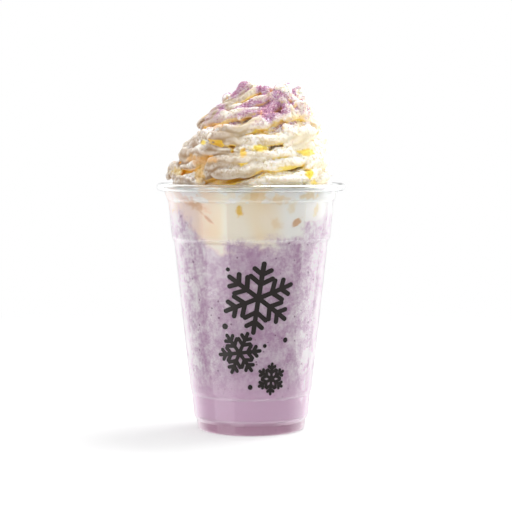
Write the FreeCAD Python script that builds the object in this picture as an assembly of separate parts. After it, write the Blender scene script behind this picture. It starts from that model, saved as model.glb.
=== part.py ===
"""Taro frappe in a clear cold-drink cup: thin-walled cup, blended taro drink, piped whipped cream.

Millimetres, +Z up. The origin is the centre of the ring that the cup stands on.
The cup is turned from one profile. The drink and the cream are faceted solids built ring by ring,
so that they share one uneven surface where they meet. The cream is one rope of piped cream that
fills the mouth of the cup and then winds anticlockwise up to a loose tip.
"""

import FreeCAD
import Part
import Mesh
import math
import os

# Cup: the overall sizes
cup_height = 124.0
rim_radius = 47.5
foot_radius = 26.8
wall = 0.6

# Cup: rolled rim and the neck under it
curl_radius = 1.9
curl_turn = 250.0
neck_height = 6.0
neck_flare = 2.1

# Cup: stacking ring, upper band and the step below it
ring_out = 0.6
ring_rise = 1.0
upper_band_height = 18.4
upper_step_out = 1.1
upper_step_rise = 1.6

# Cup: lower step, lower band, foot
lower_step_out = 0.7
lower_step_rise = 2.0
lower_band_height = 10.4
foot_step_out = 1.3
foot_step_rise = 2.0
foot_height = 5.0
band_draft = 5.5
foot_draft = 4.0
corner_radius = 1.0

# Cup: pushed-up floor inside the standing ring
push_up = 2.2
push_up_radius = 20.5
stand_ring_width = 3.4

# Drink and cream: how they fill the cup
fill_clearance = 0.15
drink_above_step = 1.6
drink_side_climb = 10.4
drink_ripple = 0.9
drink_ripple_count = 5
cream_below_rim = 3.6
cream_edge_lip = 1.5

# Cream: the piped rope
rope_radius_low = 8.6
rope_radius_top = 8.0
rope_start = 0.5
rope_end = 4.85
rope_pitch_low = 12.4
rope_pitch_top = 9.6
rope_pitch_change = 2.75
rope_front_height = -2.0
rope_front_turn = 0.75
mouth_gap = 2.4
coil_shrink = 1.6
coil_curve = 1.6
coil_tilt = 0.16
coil_offset = -3.4
coil_drift = 8.0
dome_height = 46.0
flute_count = 8
flute_twist = 2.0
flute_depth = 1.1
groove_floor = 2.6
tip_height = 2.2
tip_spread = 12.0

# Facets
segments = 60
interface_rings = 5
dome_rings = 50

# Worked out from the sizes above
FULL_TURN = 2 * math.pi
foot_top_radius = foot_radius + foot_height * math.tan(math.radians(foot_draft))
lower_band_foot = foot_height + foot_step_rise
lower_band_top = lower_band_foot + lower_band_height
body_foot = lower_band_top + lower_step_rise
ring_foot = cup_height - curl_radius - neck_height - ring_rise
upper_band_foot = ring_foot - upper_band_height
body_top = upper_band_foot - upper_step_rise
neck_radius = rim_radius - 2 * curl_radius + wall - neck_flare
cream_edge = cup_height - cream_below_rim
corner_inset = corner_radius * (1 - math.sqrt(0.5))


def cup_levels():
    """Outside corners of the cup wall from the foot to the neck, as (radius, height)."""
    draft = math.tan(math.radians(band_draft))
    lower_radius = foot_top_radius + foot_step_out
    lower_top_radius = lower_radius + lower_band_height * draft
    ring_radius = neck_radius - ring_out
    upper_radius = ring_radius - upper_band_height * draft
    return [
        (foot_radius, 0.0),
        (foot_top_radius, foot_height),
        (lower_radius, lower_band_foot),
        (lower_top_radius, lower_band_top),
        (lower_top_radius + lower_step_out, body_foot),
        (upper_radius - upper_step_out, body_top),
        (upper_radius, upper_band_foot),
        (ring_radius, ring_foot),
        (neck_radius, ring_foot + ring_rise),
        (rim_radius - 2 * curl_radius + wall, cup_height - curl_radius),
    ]


def inside_levels():
    """Inside corners of the cup wall, above the floor."""
    inside = [(radius - wall, height) for radius, height in cup_levels()]
    floor_corner = (inside[0][0], wall)
    return [floor_corner] + inside[1:]


def inside_radius(height):
    """Inside radius of the cup at a height, between the wall's corners."""
    levels = inside_levels()
    for (low_radius, low), (high_radius, high) in zip(levels, levels[1:]):
        if height <= high:
            share = max(height - low, 0.0) / (high - low)
            return low_radius + share * (high_radius - low_radius)
    return levels[-1][0]


def point(radius, height):
    """A point of a profile, in the XZ plane."""
    return FreeCAD.Vector(radius, 0, height)


def rounded_path(corners, radius):
    """Edges through the corners, with an arc of the radius at each inner corner."""
    edges = []
    start = corners[0]
    for before, corner, after in zip(corners, corners[1:], corners[2:]):
        back = (before - corner).normalize()
        ahead = (after - corner).normalize()
        half_turn = (math.pi - back.getAngle(ahead)) / 2
        reach = radius * math.tan(half_turn)
        middle = (back + ahead).normalize()
        to_arc = radius / math.cos(half_turn) - radius
        arc = Part.Arc(corner + back * reach, corner + middle * to_arc, corner + ahead * reach)
        edges.append(Part.makeLine(start, corner + back * reach))
        edges.append(arc.toShape())
        start = corner + ahead * reach
    edges.append(Part.makeLine(start, corners[-1]))
    return edges


def make_cup():
    """The cup, turned from its inside line, which the wall's thickness is added outside of."""
    floor_line = [
        point(0, push_up + wall),
        point(push_up_radius, push_up + wall),
        point(foot_radius - wall - stand_ring_width, wall),
    ]
    corners = floor_line + [point(radius, height) for radius, height in inside_levels()]
    edges = rounded_path(corners, corner_radius)
    curl_centre = point(rim_radius - curl_radius, cup_height - curl_radius)
    halfway = math.radians(180 - curl_turn / 2)
    finish = math.radians(180 - curl_turn)
    curl = Part.Arc(
        corners[-1],
        curl_centre + point(math.cos(halfway), math.sin(halfway)) * curl_radius,
        curl_centre + point(math.cos(finish), math.sin(finish)) * curl_radius,
    )
    inside = Part.Wire(edges + [curl.toShape()])
    outside = outward(inside)
    closing = [
        Part.makeLine(end_of(inside, 0), end_of(outside, 0)),
        Part.makeLine(end_of(inside, -1), end_of(outside, -1)),
    ]
    section = Part.Face(Part.Wire(Part.__sortEdges__(inside.Edges + closing + outside.Edges)))
    return section.revolve(FreeCAD.Vector(0, 0, 0), FreeCAD.Vector(0, 0, 1), 360)


def end_of(wire, index):
    """The first (0) or last (-1) point of an open profile wire that starts on the axis."""
    ends = sorted((v.Point for v in (wire.OrderedVertexes[0], wire.OrderedVertexes[-1])), key=lambda p: p.x)
    return ends[index]


def outward(inside):
    """The line one wall thickness outside the cup's inside line."""
    tries = [inside.makeOffset2D(side * wall, 0, False, True) for side in (1, -1)]
    return min(tries, key=lambda wire: wire.BoundBox.ZMin)


def drink_level(angle):
    """Height of the drink at the wall: low in front and behind, climbing at both sides."""
    lowest = upper_band_foot + drink_above_step
    climb = drink_side_climb * (1 + math.cos(2 * angle)) / 2
    ripple = drink_ripple * (1 + math.sin(drink_ripple_count * angle + 1))
    return lowest + climb + ripple


def interface_rings_points():
    """Rings of the surface where drink and cream meet, from near the axis out to the wall."""
    middle = drink_level(FULL_TURN / 4)
    rings = []
    for step in range(1, interface_rings + 1):
        share = step / interface_rings
        ring = []
        for angle in angles():
            edge = drink_level(angle)
            height = middle + (edge - middle) * share ** 2
            radius = share * (inside_radius(edge) - fill_clearance)
            ring.append(around(angle, radius, height))
        rings.append(ring)
    return rings, FreeCAD.Vector(0, 0, middle)


def angles():
    """The directions of the facets' corners."""
    return [FULL_TURN * index / segments for index in range(segments)]


def around(angle, radius, height):
    """The point at an angle, a radius and a height."""
    return FreeCAD.Vector(radius * math.cos(angle), radius * math.sin(angle), height)


def round_ring(radius, height):
    """A level ring of points."""
    return [around(angle, radius, height) for angle in angles()]


def faceted_solid(first, rings, last):
    """A closed solid through rings of points, from its first point to its last point."""
    facets = []
    for index in range(segments):
        following = (index + 1) % segments
        facets.append((first, rings[0][following], rings[0][index]))
        facets.append((last, rings[-1][index], rings[-1][following]))
        for low, high in zip(rings, rings[1:]):
            facets.append((low[index], low[following], high[following]))
            facets.append((low[index], high[following], high[index]))
    mesh = Mesh.Mesh([corner for facet in facets for corner in facet])
    shell = Part.Shape()
    shell.makeShapeFromMesh(mesh.Topology, 0.001)
    solid = Part.makeSolid(shell)
    if solid.Volume < 0:
        solid.reverse()
    return solid


def make_drink():
    """The blended drink, from the uneven surface under the cream down to the cup's floor."""
    floor_level = push_up + wall + fill_clearance
    ring_level = wall + fill_clearance + corner_inset
    foot_corner = foot_radius - wall - fill_clearance - corner_inset
    surface, middle = interface_rings_points()
    wall_rings = []
    for radius, height in reversed(inside_levels()[1:]):
        if height < upper_band_foot + drink_above_step / 2:
            wall_rings.append(round_ring(radius - fill_clearance, height))
    floor_rings = [
        round_ring(foot_corner, ring_level),
        round_ring(foot_radius - wall - stand_ring_width, ring_level),
        round_ring(push_up_radius, floor_level),
    ]
    rings = surface + wall_rings + floor_rings
    return faceted_solid(middle, rings, FreeCAD.Vector(0, 0, floor_level))


def rope_height(turn):
    """Height of the rope's centre over the rim: the pitch shrinks after the first turns."""
    steady = min(turn, rope_pitch_change) - rope_front_turn
    later = max(turn - rope_pitch_change, 0.0)
    return rope_front_height + rope_pitch_low * steady + rope_pitch_top * later


def rope_section(turn):
    """Centre (distance from the axis, height over the rim) and radius of the rope at a turn."""
    angle = FULL_TURN * turn
    wound = max(turn - 1, 0.0)
    mouth_radius = inside_radius(cream_edge) - mouth_gap
    coil = mouth_radius - rope_radius_low - coil_shrink * wound - coil_curve * wound ** 2
    height = rope_height(turn)
    lean = coil_offset + coil_drift * (height / dome_height) ** 2
    distance = max(coil, 0.0) + lean * math.cos(angle)
    share = (turn - rope_start) / (rope_end - rope_start)
    radius = rope_radius_low + (rope_radius_top - rope_radius_low) * share
    return distance, height + coil_tilt * distance * math.cos(angle), radius


def rope_sections(angle):
    """The rope's sections at an angle, from the lowest turn to the highest."""
    first = math.ceil(rope_start - angle / FULL_TURN)
    last = math.floor(rope_end - angle / FULL_TURN)
    turns = [whole + angle / FULL_TURN for whole in range(first, last + 1)]
    return [(turn, *rope_section(turn)) for turn in turns]


def rope_reach(angle, slope, heart):
    """Distance from the heart of the cream to the outside of the rope, along a slope."""
    ahead, up = math.cos(slope), math.sin(slope)
    furthest = 0.0
    for turn, distance, height, radius in rope_sections(angle):
        rise = height - heart
        along = distance * ahead + rise * up
        room = radius ** 2 - (distance ** 2 + rise ** 2 - along ** 2)
        if room > 0:
            reach = along + math.sqrt(room)
            facing = math.atan2(reach * up - rise, reach * ahead - distance)
            flute = math.cos(flute_count * facing + FULL_TURN * flute_twist * turn)
            furthest = max(furthest, reach + flute_depth * (flute - 1) / 2)
    return furthest


def groove_reach(angle, slope, heart):
    """Distance out to the bottom of the grooves, which run a little outside the rope's centres."""
    sections = rope_sections(angle)
    line = [(distance, height - heart) for turn, distance, height, radius in sections]
    low_distance, low_rise = line[0]
    line.insert(0, (low_distance, low_rise - rope_pitch_low))
    line.append((0.0, dome_height - heart - groove_floor))
    ahead, up = math.cos(slope), math.sin(slope)
    furthest = 0.0
    for (x1, y1), (x2, y2) in zip(line, line[1:]):
        side1, side2 = x1 * up - y1 * ahead, x2 * up - y2 * ahead
        if side1 * side2 <= 0 and side1 != side2:
            share = side1 / (side1 - side2)
            across, rise = x1 + share * (x2 - x1), y1 + share * (y2 - y1)
            furthest = max(furthest, across * ahead + rise * up)
    return furthest + groove_floor


def tip_lift(slope):
    """The peak that the nozzle leaves as it is pulled away."""
    return tip_height * math.exp(-((90 - math.degrees(slope)) / tip_spread) ** 2)


def dome_rings_points():
    """Rings over the piped cream above the cup, from its edge at the wall to near the tip."""
    heart = rope_front_height + rope_pitch_low / 2
    wall_radius = inside_radius(cream_edge) - 2 * fill_clearance
    lip_height = cream_edge + cream_edge_lip - cup_height
    first_slope = math.atan2(lip_height - heart, wall_radius - mouth_gap)
    rings = []
    for step in range(dome_rings):
        slope = first_slope + (math.pi / 2 - first_slope) * step / dome_rings
        ahead, up = math.cos(slope), math.sin(slope)
        ring = []
        for angle in angles():
            reach = max(rope_reach(angle, slope, heart), groove_reach(angle, slope, heart))
            reach += tip_lift(slope)
            if reach * ahead > wall_radius:
                reach = wall_radius / ahead
            ring.append(around(angle, reach * ahead, cup_height + heart + reach * up))
        rings.append(ring)
    return rings, FreeCAD.Vector(0, 0, cup_height + dome_height + tip_height)


def make_cream():
    """The whipped cream: it fills the mouth of the cup on top of the drink, and is piped up in a spiral."""
    surface, middle = interface_rings_points()
    wall_rings = []
    for radius, height in inside_levels():
        if ring_foot <= height < cream_edge:
            wall_rings.append(round_ring(radius - fill_clearance, height))
    edge = round_ring(inside_radius(cream_edge) - fill_clearance, cream_edge)
    dome, tip = dome_rings_points()
    return faceted_solid(middle, surface + wall_rings + [edge] + dome, tip)


PIECES = {
    "cup": make_cup,
    "taro_drink": make_drink,
    "whipped_cream": make_cream,
}


def main():
    os.makedirs("parts", exist_ok=True)
    for name, make in PIECES.items():
        solid = make()
        solid.exportStep(f"parts/{name}.step")
        print(name, "valid" if solid.isValid() else "NOT VALID", f"{solid.Volume / 1000:.1f} ml")


main()
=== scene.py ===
"""Taro frappe: a clear cold-drink cup with its blended drink, piped whipped cream, taro powder and a plain print.

The file is laid out as a Blender add-on and is run as a script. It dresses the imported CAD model, which gives every
place and overall size. Lengths are in metres, +Z is up and the camera looks along +Y.
"""

import math

import bpy
import numpy as np
from bpy.props import FloatProperty, FloatVectorProperty, IntProperty, PointerProperty
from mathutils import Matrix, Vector, noise


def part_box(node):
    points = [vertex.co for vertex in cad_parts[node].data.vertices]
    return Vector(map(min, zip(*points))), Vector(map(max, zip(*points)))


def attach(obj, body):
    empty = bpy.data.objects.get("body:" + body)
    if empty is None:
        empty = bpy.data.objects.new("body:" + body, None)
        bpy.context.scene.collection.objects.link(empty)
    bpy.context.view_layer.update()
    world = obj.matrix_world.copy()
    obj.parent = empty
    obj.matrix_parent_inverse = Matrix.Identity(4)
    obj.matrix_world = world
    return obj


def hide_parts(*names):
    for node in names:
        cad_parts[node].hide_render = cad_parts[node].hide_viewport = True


bl_info = {
    "name": "Taro Frappe",
    "version": (1, 0, 0),
    "blender": (4, 5, 0),
    "location": "View3D > Sidebar > Frappe",
    "description": "Builds a taro frappe with piped cream over its CAD model",
    "category": "Object",
}

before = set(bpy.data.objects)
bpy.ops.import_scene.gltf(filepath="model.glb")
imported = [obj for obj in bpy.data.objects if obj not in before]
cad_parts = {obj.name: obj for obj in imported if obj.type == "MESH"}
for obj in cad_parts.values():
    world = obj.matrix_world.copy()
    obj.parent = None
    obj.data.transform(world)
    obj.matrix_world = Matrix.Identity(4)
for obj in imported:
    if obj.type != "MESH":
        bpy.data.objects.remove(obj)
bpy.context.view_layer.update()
CUP_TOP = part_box("cup")[1].z
RIM_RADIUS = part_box("cup")[1].x

MM = 0.001
FULL_TURN = 2 * math.pi

SHARP_CORNER = math.radians(50)
TIP_THINNING = 0.88

# Millimetres from the line where cream and drink mix, at which there is only drink or only cream.
ONLY_DRINK, ONLY_CREAM = -90.0, 20.0


def linear(hex_colour):
    """The linear RGBA of an sRGB colour written as #rrggbb."""
    parts = [int(hex_colour[start : start + 2], 16) / 255 for start in (1, 3, 5)]
    return [p / 12.92 if p <= 0.04045 else ((p + 0.055) / 1.055) ** 2.4 for p in parts] + [1.0]


def length(name, description, millimetres):
    """A length that the user can change, given in millimetres and held in metres."""
    return FloatProperty(name=name, description=description, default=millimetres * MM, unit="LENGTH", precision=5)


def share(name, description, value):
    """A plain factor that the user can change."""
    return FloatProperty(name=name, description=description, default=value, precision=3)


def colour(name, description, hex_colour):
    """A colour that the user can change."""
    return FloatVectorProperty(
        name=name, description=description, default=linear(hex_colour), subtype="COLOR", size=4, min=0, max=1
    )


# ---------------------------------------------------------------- sizes and colours


class CupSizes(bpy.types.PropertyGroup):
    """The clear cup's wall, levels and steps"""

    wall: length("Wall", "Thickness of the plastic", 0.6)
    curl: length("Curl", "Outside radius of the rolled rim's section", 1.9)
    neck_height: length("Neck height", "From the stacking ring to the rolled rim", 6.0)
    neck_flare: length("Neck flare", "How far the neck widens up to the rolled rim", 2.1)
    ring_out: length("Ring", "How far the stacking ring stands out", 0.6)
    ring_rise: length("Ring rise", "Height over which the stacking ring stands out", 1.0)
    upper_band: length("Upper band", "Height of the band under the stacking ring", 18.4)
    upper_step: length("Upper step", "How far the upper band stands out", 1.1)
    upper_step_rise: length("Upper step rise", "Height of the step under the upper band", 1.6)
    lower_step: length("Lower step", "How far the body stands out over the lower band", 0.7)
    lower_step_rise: length("Lower step rise", "Height of the step over the lower band", 2.0)
    lower_band: length("Lower band", "Height of the band over the foot", 11.4)
    foot_step: length("Foot step", "How far the lower band stands out over the foot", 1.3)
    foot_step_rise: length("Foot step rise", "Height of the step over the foot", 2.0)
    foot_height: length("Foot height", "Height of the foot's ring", 5.0)
    foot_radius: length("Foot radius", "Outside radius of the foot at the floor", 27.1)
    push_up: length("Push-up", "How far the floor is pushed up inside the foot", 2.2)
    push_up_radius: length("Push-up radius", "Radius of the pushed-up floor", 20.5)
    stand_ring: length("Standing ring", "Width of the ring that the cup stands on", 3.4)
    corner: length("Corner", "Radius of the corners inside the cup", 1.0)
    around: IntProperty(name="Around", description="Facets around the cup", default=160)


class FillSizes(bpy.types.PropertyGroup):
    """The drink and the cream inside the cup"""

    sink: length("Sink", "How far the filling reaches into the wall, so that no air gap shows", 0.25)
    above_step: length("Above the step", "The drink's lowest level, over the cup's upper step", 1.6)
    side_climb: length("Side climb", "How far the drink climbs at both sides", 10.4)
    ripple: length("Ripple", "Height of the waves of the drink's edge", 0.9)
    unevenness: length("Unevenness", "Loose unevenness of the drink's edge", 2.4)
    marbling_low: length("Low marbling", "Where cream and drink mix in front, over the cup's upper step", -2.5)
    marbling_climb: length("Marbling climb", "How much higher they mix at both sides", 17.0)
    cream_below_rim: length("Cream edge", "How far the cream's edge lies under the rim", 1.8)
    pocket: length("Pocket", "Depth of the air pockets between cream and wall", 0.2)
    around: IntProperty(name="Around", description="Facets around the filling", default=400)


class SwirlSizes(bpy.types.PropertyGroup):
    """The piped rope of cream"""

    radius_low: length("Low radius", "Radius of the rope where it leaves the cup", 7.6)
    radius_top: length("Top radius", "Radius of the rope at the top", 7.2)
    start: share("Start", "Turn at which the rope starts, hidden in the cup", 0.5)
    end: share("End", "Turn at which the rope ends", 5.12)
    taper: share("Taper", "Turns over which the rope thins to its tip", 0.42)
    pitch_low: length("Low pitch", "Rise per turn of the lower turns", 12.4)
    pitch_top: length("Top pitch", "Rise per turn of the upper turns", 9.6)
    pitch_change: share("Pitch change", "Turn at which the pitch changes", 2.75)
    front_height: length("Front height", "Height of the rope over the rim at its front turn", -2.0)
    front_turn: share("Front turn", "Turn at which the rope first passes the front", 0.75)
    coil: length("Coil", "Distance of the lowest turn's centre from the axis", 32.2)
    shrink: length("Shrink", "How much nearer each turn lies", 1.6)
    curve: length("Curve", "How fast the turns close in towards the top", 1.6)
    tilt: share("Tilt", "Slope of each turn, up to the right", 0.16)
    offset: length("Offset", "Sideways offset of the lowest turn", -0.4)
    drift: length("Drift", "Sideways drift from the lowest turn to the top", 4.4)
    dome: length("Dome", "Height of the cream over the rim, without the tip", 46.0)
    core_width: length("Core width", "Radius of the cream inside the turns", 25.0)
    core_height: length("Core height", "Height of the cream inside the turns, over the rim", 36.0)
    flutes: IntProperty(name="Flutes", description="Ridges that the star nozzle leaves", default=4)
    flute_depth: length("Flute depth", "Depth between two ridges", 4.0)
    flute_twist: share("Flute twist", "Turns of the nozzle's star for each turn of the rope", -0.42)
    sway: length("Sway", "Loose waves of the rope, from an unsteady hand", 2.8)
    tear: length("Tear", "Depth of the torn spots on the ridges", 1.2)
    tear_spacing: length("Tear spacing", "Distance between torn spots along a ridge", 2.6)
    lump: length("Lump", "Size of the loose lumps on the ridges", 1.5)
    lumps: IntProperty(name="Lumps", description="Loose lumps per square metre of rope", default=14000)
    block: length("Block", "Size of the broken blocks at the upper right", 7.0)
    blocks: IntProperty(name="Blocks", description="Broken blocks per square metre of rope", default=5500)
    foam: length("Foam", "Depth of the foam's fine grain", 0.75)
    foam_grain: length("Foam grain", "Width of the foam's fine grain", 2.4)
    torn_left: share("Torn left", "How much less the left side is torn", -0.12)
    torn_right: share("Torn right", "How much more the right side is torn", 0.24)
    fold_out: length("Fold height", "How far the loose folds stand out from the turns", 1.2)
    fold_sink: share("Sunken folds", "How far the loose folds are sunk into the turns", 0.3)
    fold: length("Fold", "Width of a fold that light doesn't leave again", 7.0)
    voxel: length("Voxel", "Finest detail of the cream's surface", 0.46)
    kept: share("Kept", "Share of the surface's triangles that is kept", 0.41)


class PowderSizes(bpy.types.PropertyGroup):
    """The taro powder on the cream"""

    grain: length("Grain", "Mean radius of a grain", 0.17)
    grains: IntProperty(name="Grains", description="Grains per square metre where they lie thickest", default=3600000)
    reach: length("Reach", "How far from the middle of the sprinkle grains fall", 31.0)
    middle_x: length("Middle, sideways", "Middle of the sprinkle", 6.0)
    middle_y: length("Middle, depth", "Middle of the sprinkle", -6.0)
    lowest: length("Lowest", "Height over the rim at which the first grains lie", 4.0)
    thickest: length("Thickest", "Height over the rim from which they lie thickest", 36.0)
    heap_x: length("Heap, sideways", "Middle of the thickest heap", 10.5)
    heap_rise: length("Heap height", "Height of the thickest heap over the rim", 37.0)
    heap_reach: length("Heap reach", "Reach of the thickest heap", 9.0)
    seed: IntProperty(name="Seed", description="Seed of the scatter", default=7)


class PrintSizes(bpy.types.PropertyGroup):
    """The plain print on the front of the cup: flakes of snow with loose dots"""

    stroke: length("Stroke", "Width of the largest flake's lines", 2.3)
    ink: length("Ink", "Thickness of the ink", 0.04)
    largest: length("Largest flake", "Reach of the largest flake's arms", 17.0)
    top: length("Top", "Height of the middle of the largest flake", 69.0)
    aside: length("Aside", "The print's place to the right of the front", 2.6)
    arms: IntProperty(name="Arms", description="Arms of a flake", default=6)


class StageSizes(bpy.types.PropertyGroup):
    """Floor, lights and camera"""

    distance: FloatProperty(name="Distance", description="From camera to cup", default=0.82, unit="LENGTH")
    eye: FloatProperty(name="Eye", description="Height of the camera", default=0.14, unit="LENGTH")
    aim: FloatProperty(name="Aim", description="Height that the camera looks at", default=0.0872, unit="LENGTH")
    aside: FloatProperty(name="Aside", description="The camera's place to the right", default=0.0025, unit="LENGTH")
    view: FloatProperty(name="View", description="Angle of view", default=math.radians(17.85), subtype="ANGLE")
    sky: share("Sky", "Strength of the soft light from behind and above", 0.85)
    room: share("Room", "Strength of the soft light and reflections from the front", 0.72)
    filling: share("Filling light", "Strength of the soft light that reaches the filling through the cup", 1.24)
    softbox: share("Softbox", "Power in watts of the soft box at the front left", 1.6)
    key: share("Key", "Power in watts of the main lamp above the right", 8.2)
    side: share("Side", "Power in watts of the long lamp at the right", 2.3)
    front_box: share("Front box", "How bright the soft box at the front left is in reflections", 1.1)
    right_box: share("Right box", "How bright the soft box at the right is in reflections", 1.6)
    left_box: share("Left box", "How bright the soft box behind the left is in reflections", 1.5)
    flags: share("Flags", "How much of reflections the dim flags beside the backdrop leave", 0.6)
    rim_edge: share("Rim edge", "How bright the flags are in the light that the rolled rim bends aside", 0.88)
    front_fall: share("Front fall", "Share of the soft light that still comes from the front", 0.58)
    bright: share("Bright", "How much of the floor the camera sees as pure white near the cup", 0.5)
    fade: FloatProperty(name="Fade", description="Distance at which the floor turns white", default=0.6, unit="LENGTH")


class Finishes(bpy.types.PropertyGroup):
    """Colours of the pieces"""

    clear: colour("Clear plastic", "Tint of the cup's plastic", "#fafcfc")
    lilac: colour("Lilac", "Blended taro between the ice grains", "#bf97b8")
    frost: colour("Frost", "Pale ice and milk in the drink", "#efe7ea")
    settled: colour("Settled drink", "Smooth drink near the foot", "#dfbdd6")
    foot: colour("Foot of the drink", "Drink in the foot ring, where little light reaches", "#c699b3")
    speck: colour("Speck", "Dark taro specks and bubbles", "#7d4a72")
    in_cup: colour("Cream in the cup", "Cream pressed against the wall", "#fff5e6")
    # Painted light: the whiter cream at the wall on its lit right side.
    in_cup_lit: colour("White cream in the cup", "Cream pressed against the wall on the light side", "#fffdf9")
    # Painted shade: the tan bands in the cream at the wall, on its shaded side.
    in_cup_shade: colour("Tan cream", "Thinner cream, with the shade behind it", "#fee0b4")
    in_cup_rose: colour("Rose cream", "Cream with a touch of taro", "#f3ddd8")
    froth: colour("Froth", "Froth under the rim", "#ffffff")
    cream: colour("Cream", "Whipped cream", "#e3d5b2")
    # Painted highlight: the whiter crests and torn froth of the piped cream.
    crest_highlight: colour("Crests", "Thin crests of the cream", "#fcfaf6")
    cream_shade: colour("Shaded cream", "Cream in the shade of its own folds", "#987553")
    cream_lit: colour("Lit shade", "Shade of the cream where light comes through from behind", "#e6d09c")
    cream_left: colour("Shaded side", "Whipped cream on the side away from the light", "#997c5c")
    cream_dusted: colour("Dusted cream", "Cream under a thin veil of powder", "#dcc2de")
    # Painted glow: light that seems to glow in the cream's folds and hollows, warmer in the deepest ones.
    crevice: colour("Crevice", "Glow inside the folds of the cream", "#f3d650")
    crevice_left: colour("Shaded crevice", "Glow inside the folds on the side away from the light", "#e2b566")
    amber: colour("Amber hollow", "Cream that only warm light reaches", "#e6a04c")
    deep: colour("Deep crevice", "Glow in the deepest folds", "#ecbc45")
    # Painted glow and shade in the air pockets between cream and wall: a golden glow, and brown shade where less
    # golden.
    pocket: colour("Pocket", "Air pocket in the cream", "#f2cd62")
    pocket_shade: colour("Cavity", "Air pocket between drink and cream", "#d29a70")
    powder: colour("Powder", "Taro powder", "#c283aa")
    powder_dark: colour("Dark powder", "Coarse grains of taro powder", "#8a3f68")
    ink: colour("Ink", "Print on the cup", "#1d1614")
    floor: colour("Floor", "Floor under the cup", "#f6f6f6")


GROUPS = {
    "frappe_cup": CupSizes,
    "frappe_fill": FillSizes,
    "frappe_swirl": SwirlSizes,
    "frappe_powder": PowderSizes,
    "frappe_print": PrintSizes,
    "frappe_stage": StageSizes,
    "frappe_finish": Finishes,
}


# ---------------------------------------------------------------- helpers for trees and meshes


def add(tree, kind, inputs=None, **settings):
    """Adds a node with its settings. Each input is a value, or a node or socket that it is linked to."""
    node = tree.nodes.new(kind)
    for name, value in settings.items():
        setattr(node, name, value)
    for key, value in (inputs or {}).items():
        free = [s for s in node.inputs if s.enabled]
        socket = free[key] if isinstance(key, int) else next(s for s in free if s.name == key)
        if isinstance(value, bpy.types.Node):
            value = next(s for s in value.outputs if s.enabled)
        if isinstance(value, bpy.types.NodeSocket):
            tree.links.new(value, socket)
        else:
            socket.default_value = value
    return node


def new_material(name):
    """An empty material, with its tree and its output."""
    material = bpy.data.materials.new(name)
    material.use_nodes = True
    tree = material.node_tree
    tree.nodes.clear()
    return material, tree


def new_geometry_tree(name, sockets):
    """A geometry tree with named inputs, as {name: (socket type, default)}, and its group input and output."""
    tree = bpy.data.node_groups.new(name, "GeometryNodeTree")
    tree.interface.new_socket("Geometry", in_out="INPUT", socket_type="NodeSocketGeometry")
    for socket_name, (kind, default) in sockets.items():
        socket = tree.interface.new_socket(socket_name, in_out="INPUT", socket_type=kind)
        if default is not None:
            socket.default_value = default
    tree.interface.new_socket("Geometry", in_out="OUTPUT", socket_type="NodeSocketGeometry")
    return tree, tree.nodes.new("NodeGroupInput"), tree.nodes.new("NodeGroupOutput")


def use_tree(piece, tree, values):
    """Puts a geometry tree on a piece, with the values of its named inputs."""
    modifier = piece.modifiers.new(tree.name, "NODES")
    modifier.node_group = tree
    for item in tree.interface.items_tree:
        if item.in_out == "INPUT" and item.name in values:
            modifier[item.identifier] = values[item.name]
    return modifier


def plain_mesh(piece, name):
    """The piece with its modifiers worked in, as a new object with a plain mesh."""
    evaluated = piece.evaluated_get(bpy.context.evaluated_depsgraph_get())
    mesh = bpy.data.meshes.new_from_object(evaluated)
    mesh.name = name
    bpy.data.objects.remove(piece)
    return new_piece(name, mesh)


def new_piece(name, mesh):
    """An object for a mesh, at the origin of the scene."""
    piece = bpy.data.objects.new(name, mesh)
    bpy.context.scene.collection.objects.link(piece)
    return piece


def mesh_from(name, points, faces, edges=(), smooth=True):
    """A mesh from points and faces."""
    mesh = bpy.data.meshes.new(name)
    mesh.from_pydata([tuple(p) for p in points], edges, faces)
    mesh.update()
    if smooth and faces:
        mesh.shade_smooth()
    return mesh


def store(mesh, name, values):
    """Keeps one number for each point of a mesh."""
    attribute = mesh.attributes.new(name, "FLOAT", "POINT")
    attribute.data.foreach_set("value", np.asarray(values, dtype=np.float32))


def ring_faces(rings, around, closed_start, closed_end):
    """Faces between rings of points, counted from 0, with a pole before the first or after the last ring."""
    faces = []
    for ring in range(rings - 1):
        low, high = ring * around, (ring + 1) * around
        for k in range(around):
            after = (k + 1) % around
            faces.append((low + k, low + after, high + after, high + k))
    pole = rings * around
    if closed_start:
        faces += [(pole, (k + 1) % around, k) for k in range(around)]
        pole += 1
    if closed_end:
        last = (rings - 1) * around
        faces += [(pole, last + k, last + (k + 1) % around) for k in range(around)]
    return faces


def directions(around):
    """Angles of the points of a ring."""
    return [FULL_TURN * k / around for k in range(around)]


def on_ring(radius, angle, height):
    """The place at a distance and in a direction from the axis."""
    return (radius * math.cos(angle), radius * math.sin(angle), height)


def ride_as(piece, slot, *nodes):
    """The piece moves with the object and stands for CAD nodes. The slot is not used."""
    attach(piece, "root")
    if nodes:
        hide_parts(*nodes)


def smoothstep(value, low, high):
    """0 below low, 1 above high and a soft slope between them."""
    x = min(max((value - low) / (high - low), 0.0), 1.0)
    return x * x * (3 - 2 * x)


# ---------------------------------------------------------------- the cup's outline


def ring_height(cup):
    """Height of the foot of the stacking ring."""
    return CUP_TOP - cup.curl - cup.neck_height - cup.ring_rise


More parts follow.
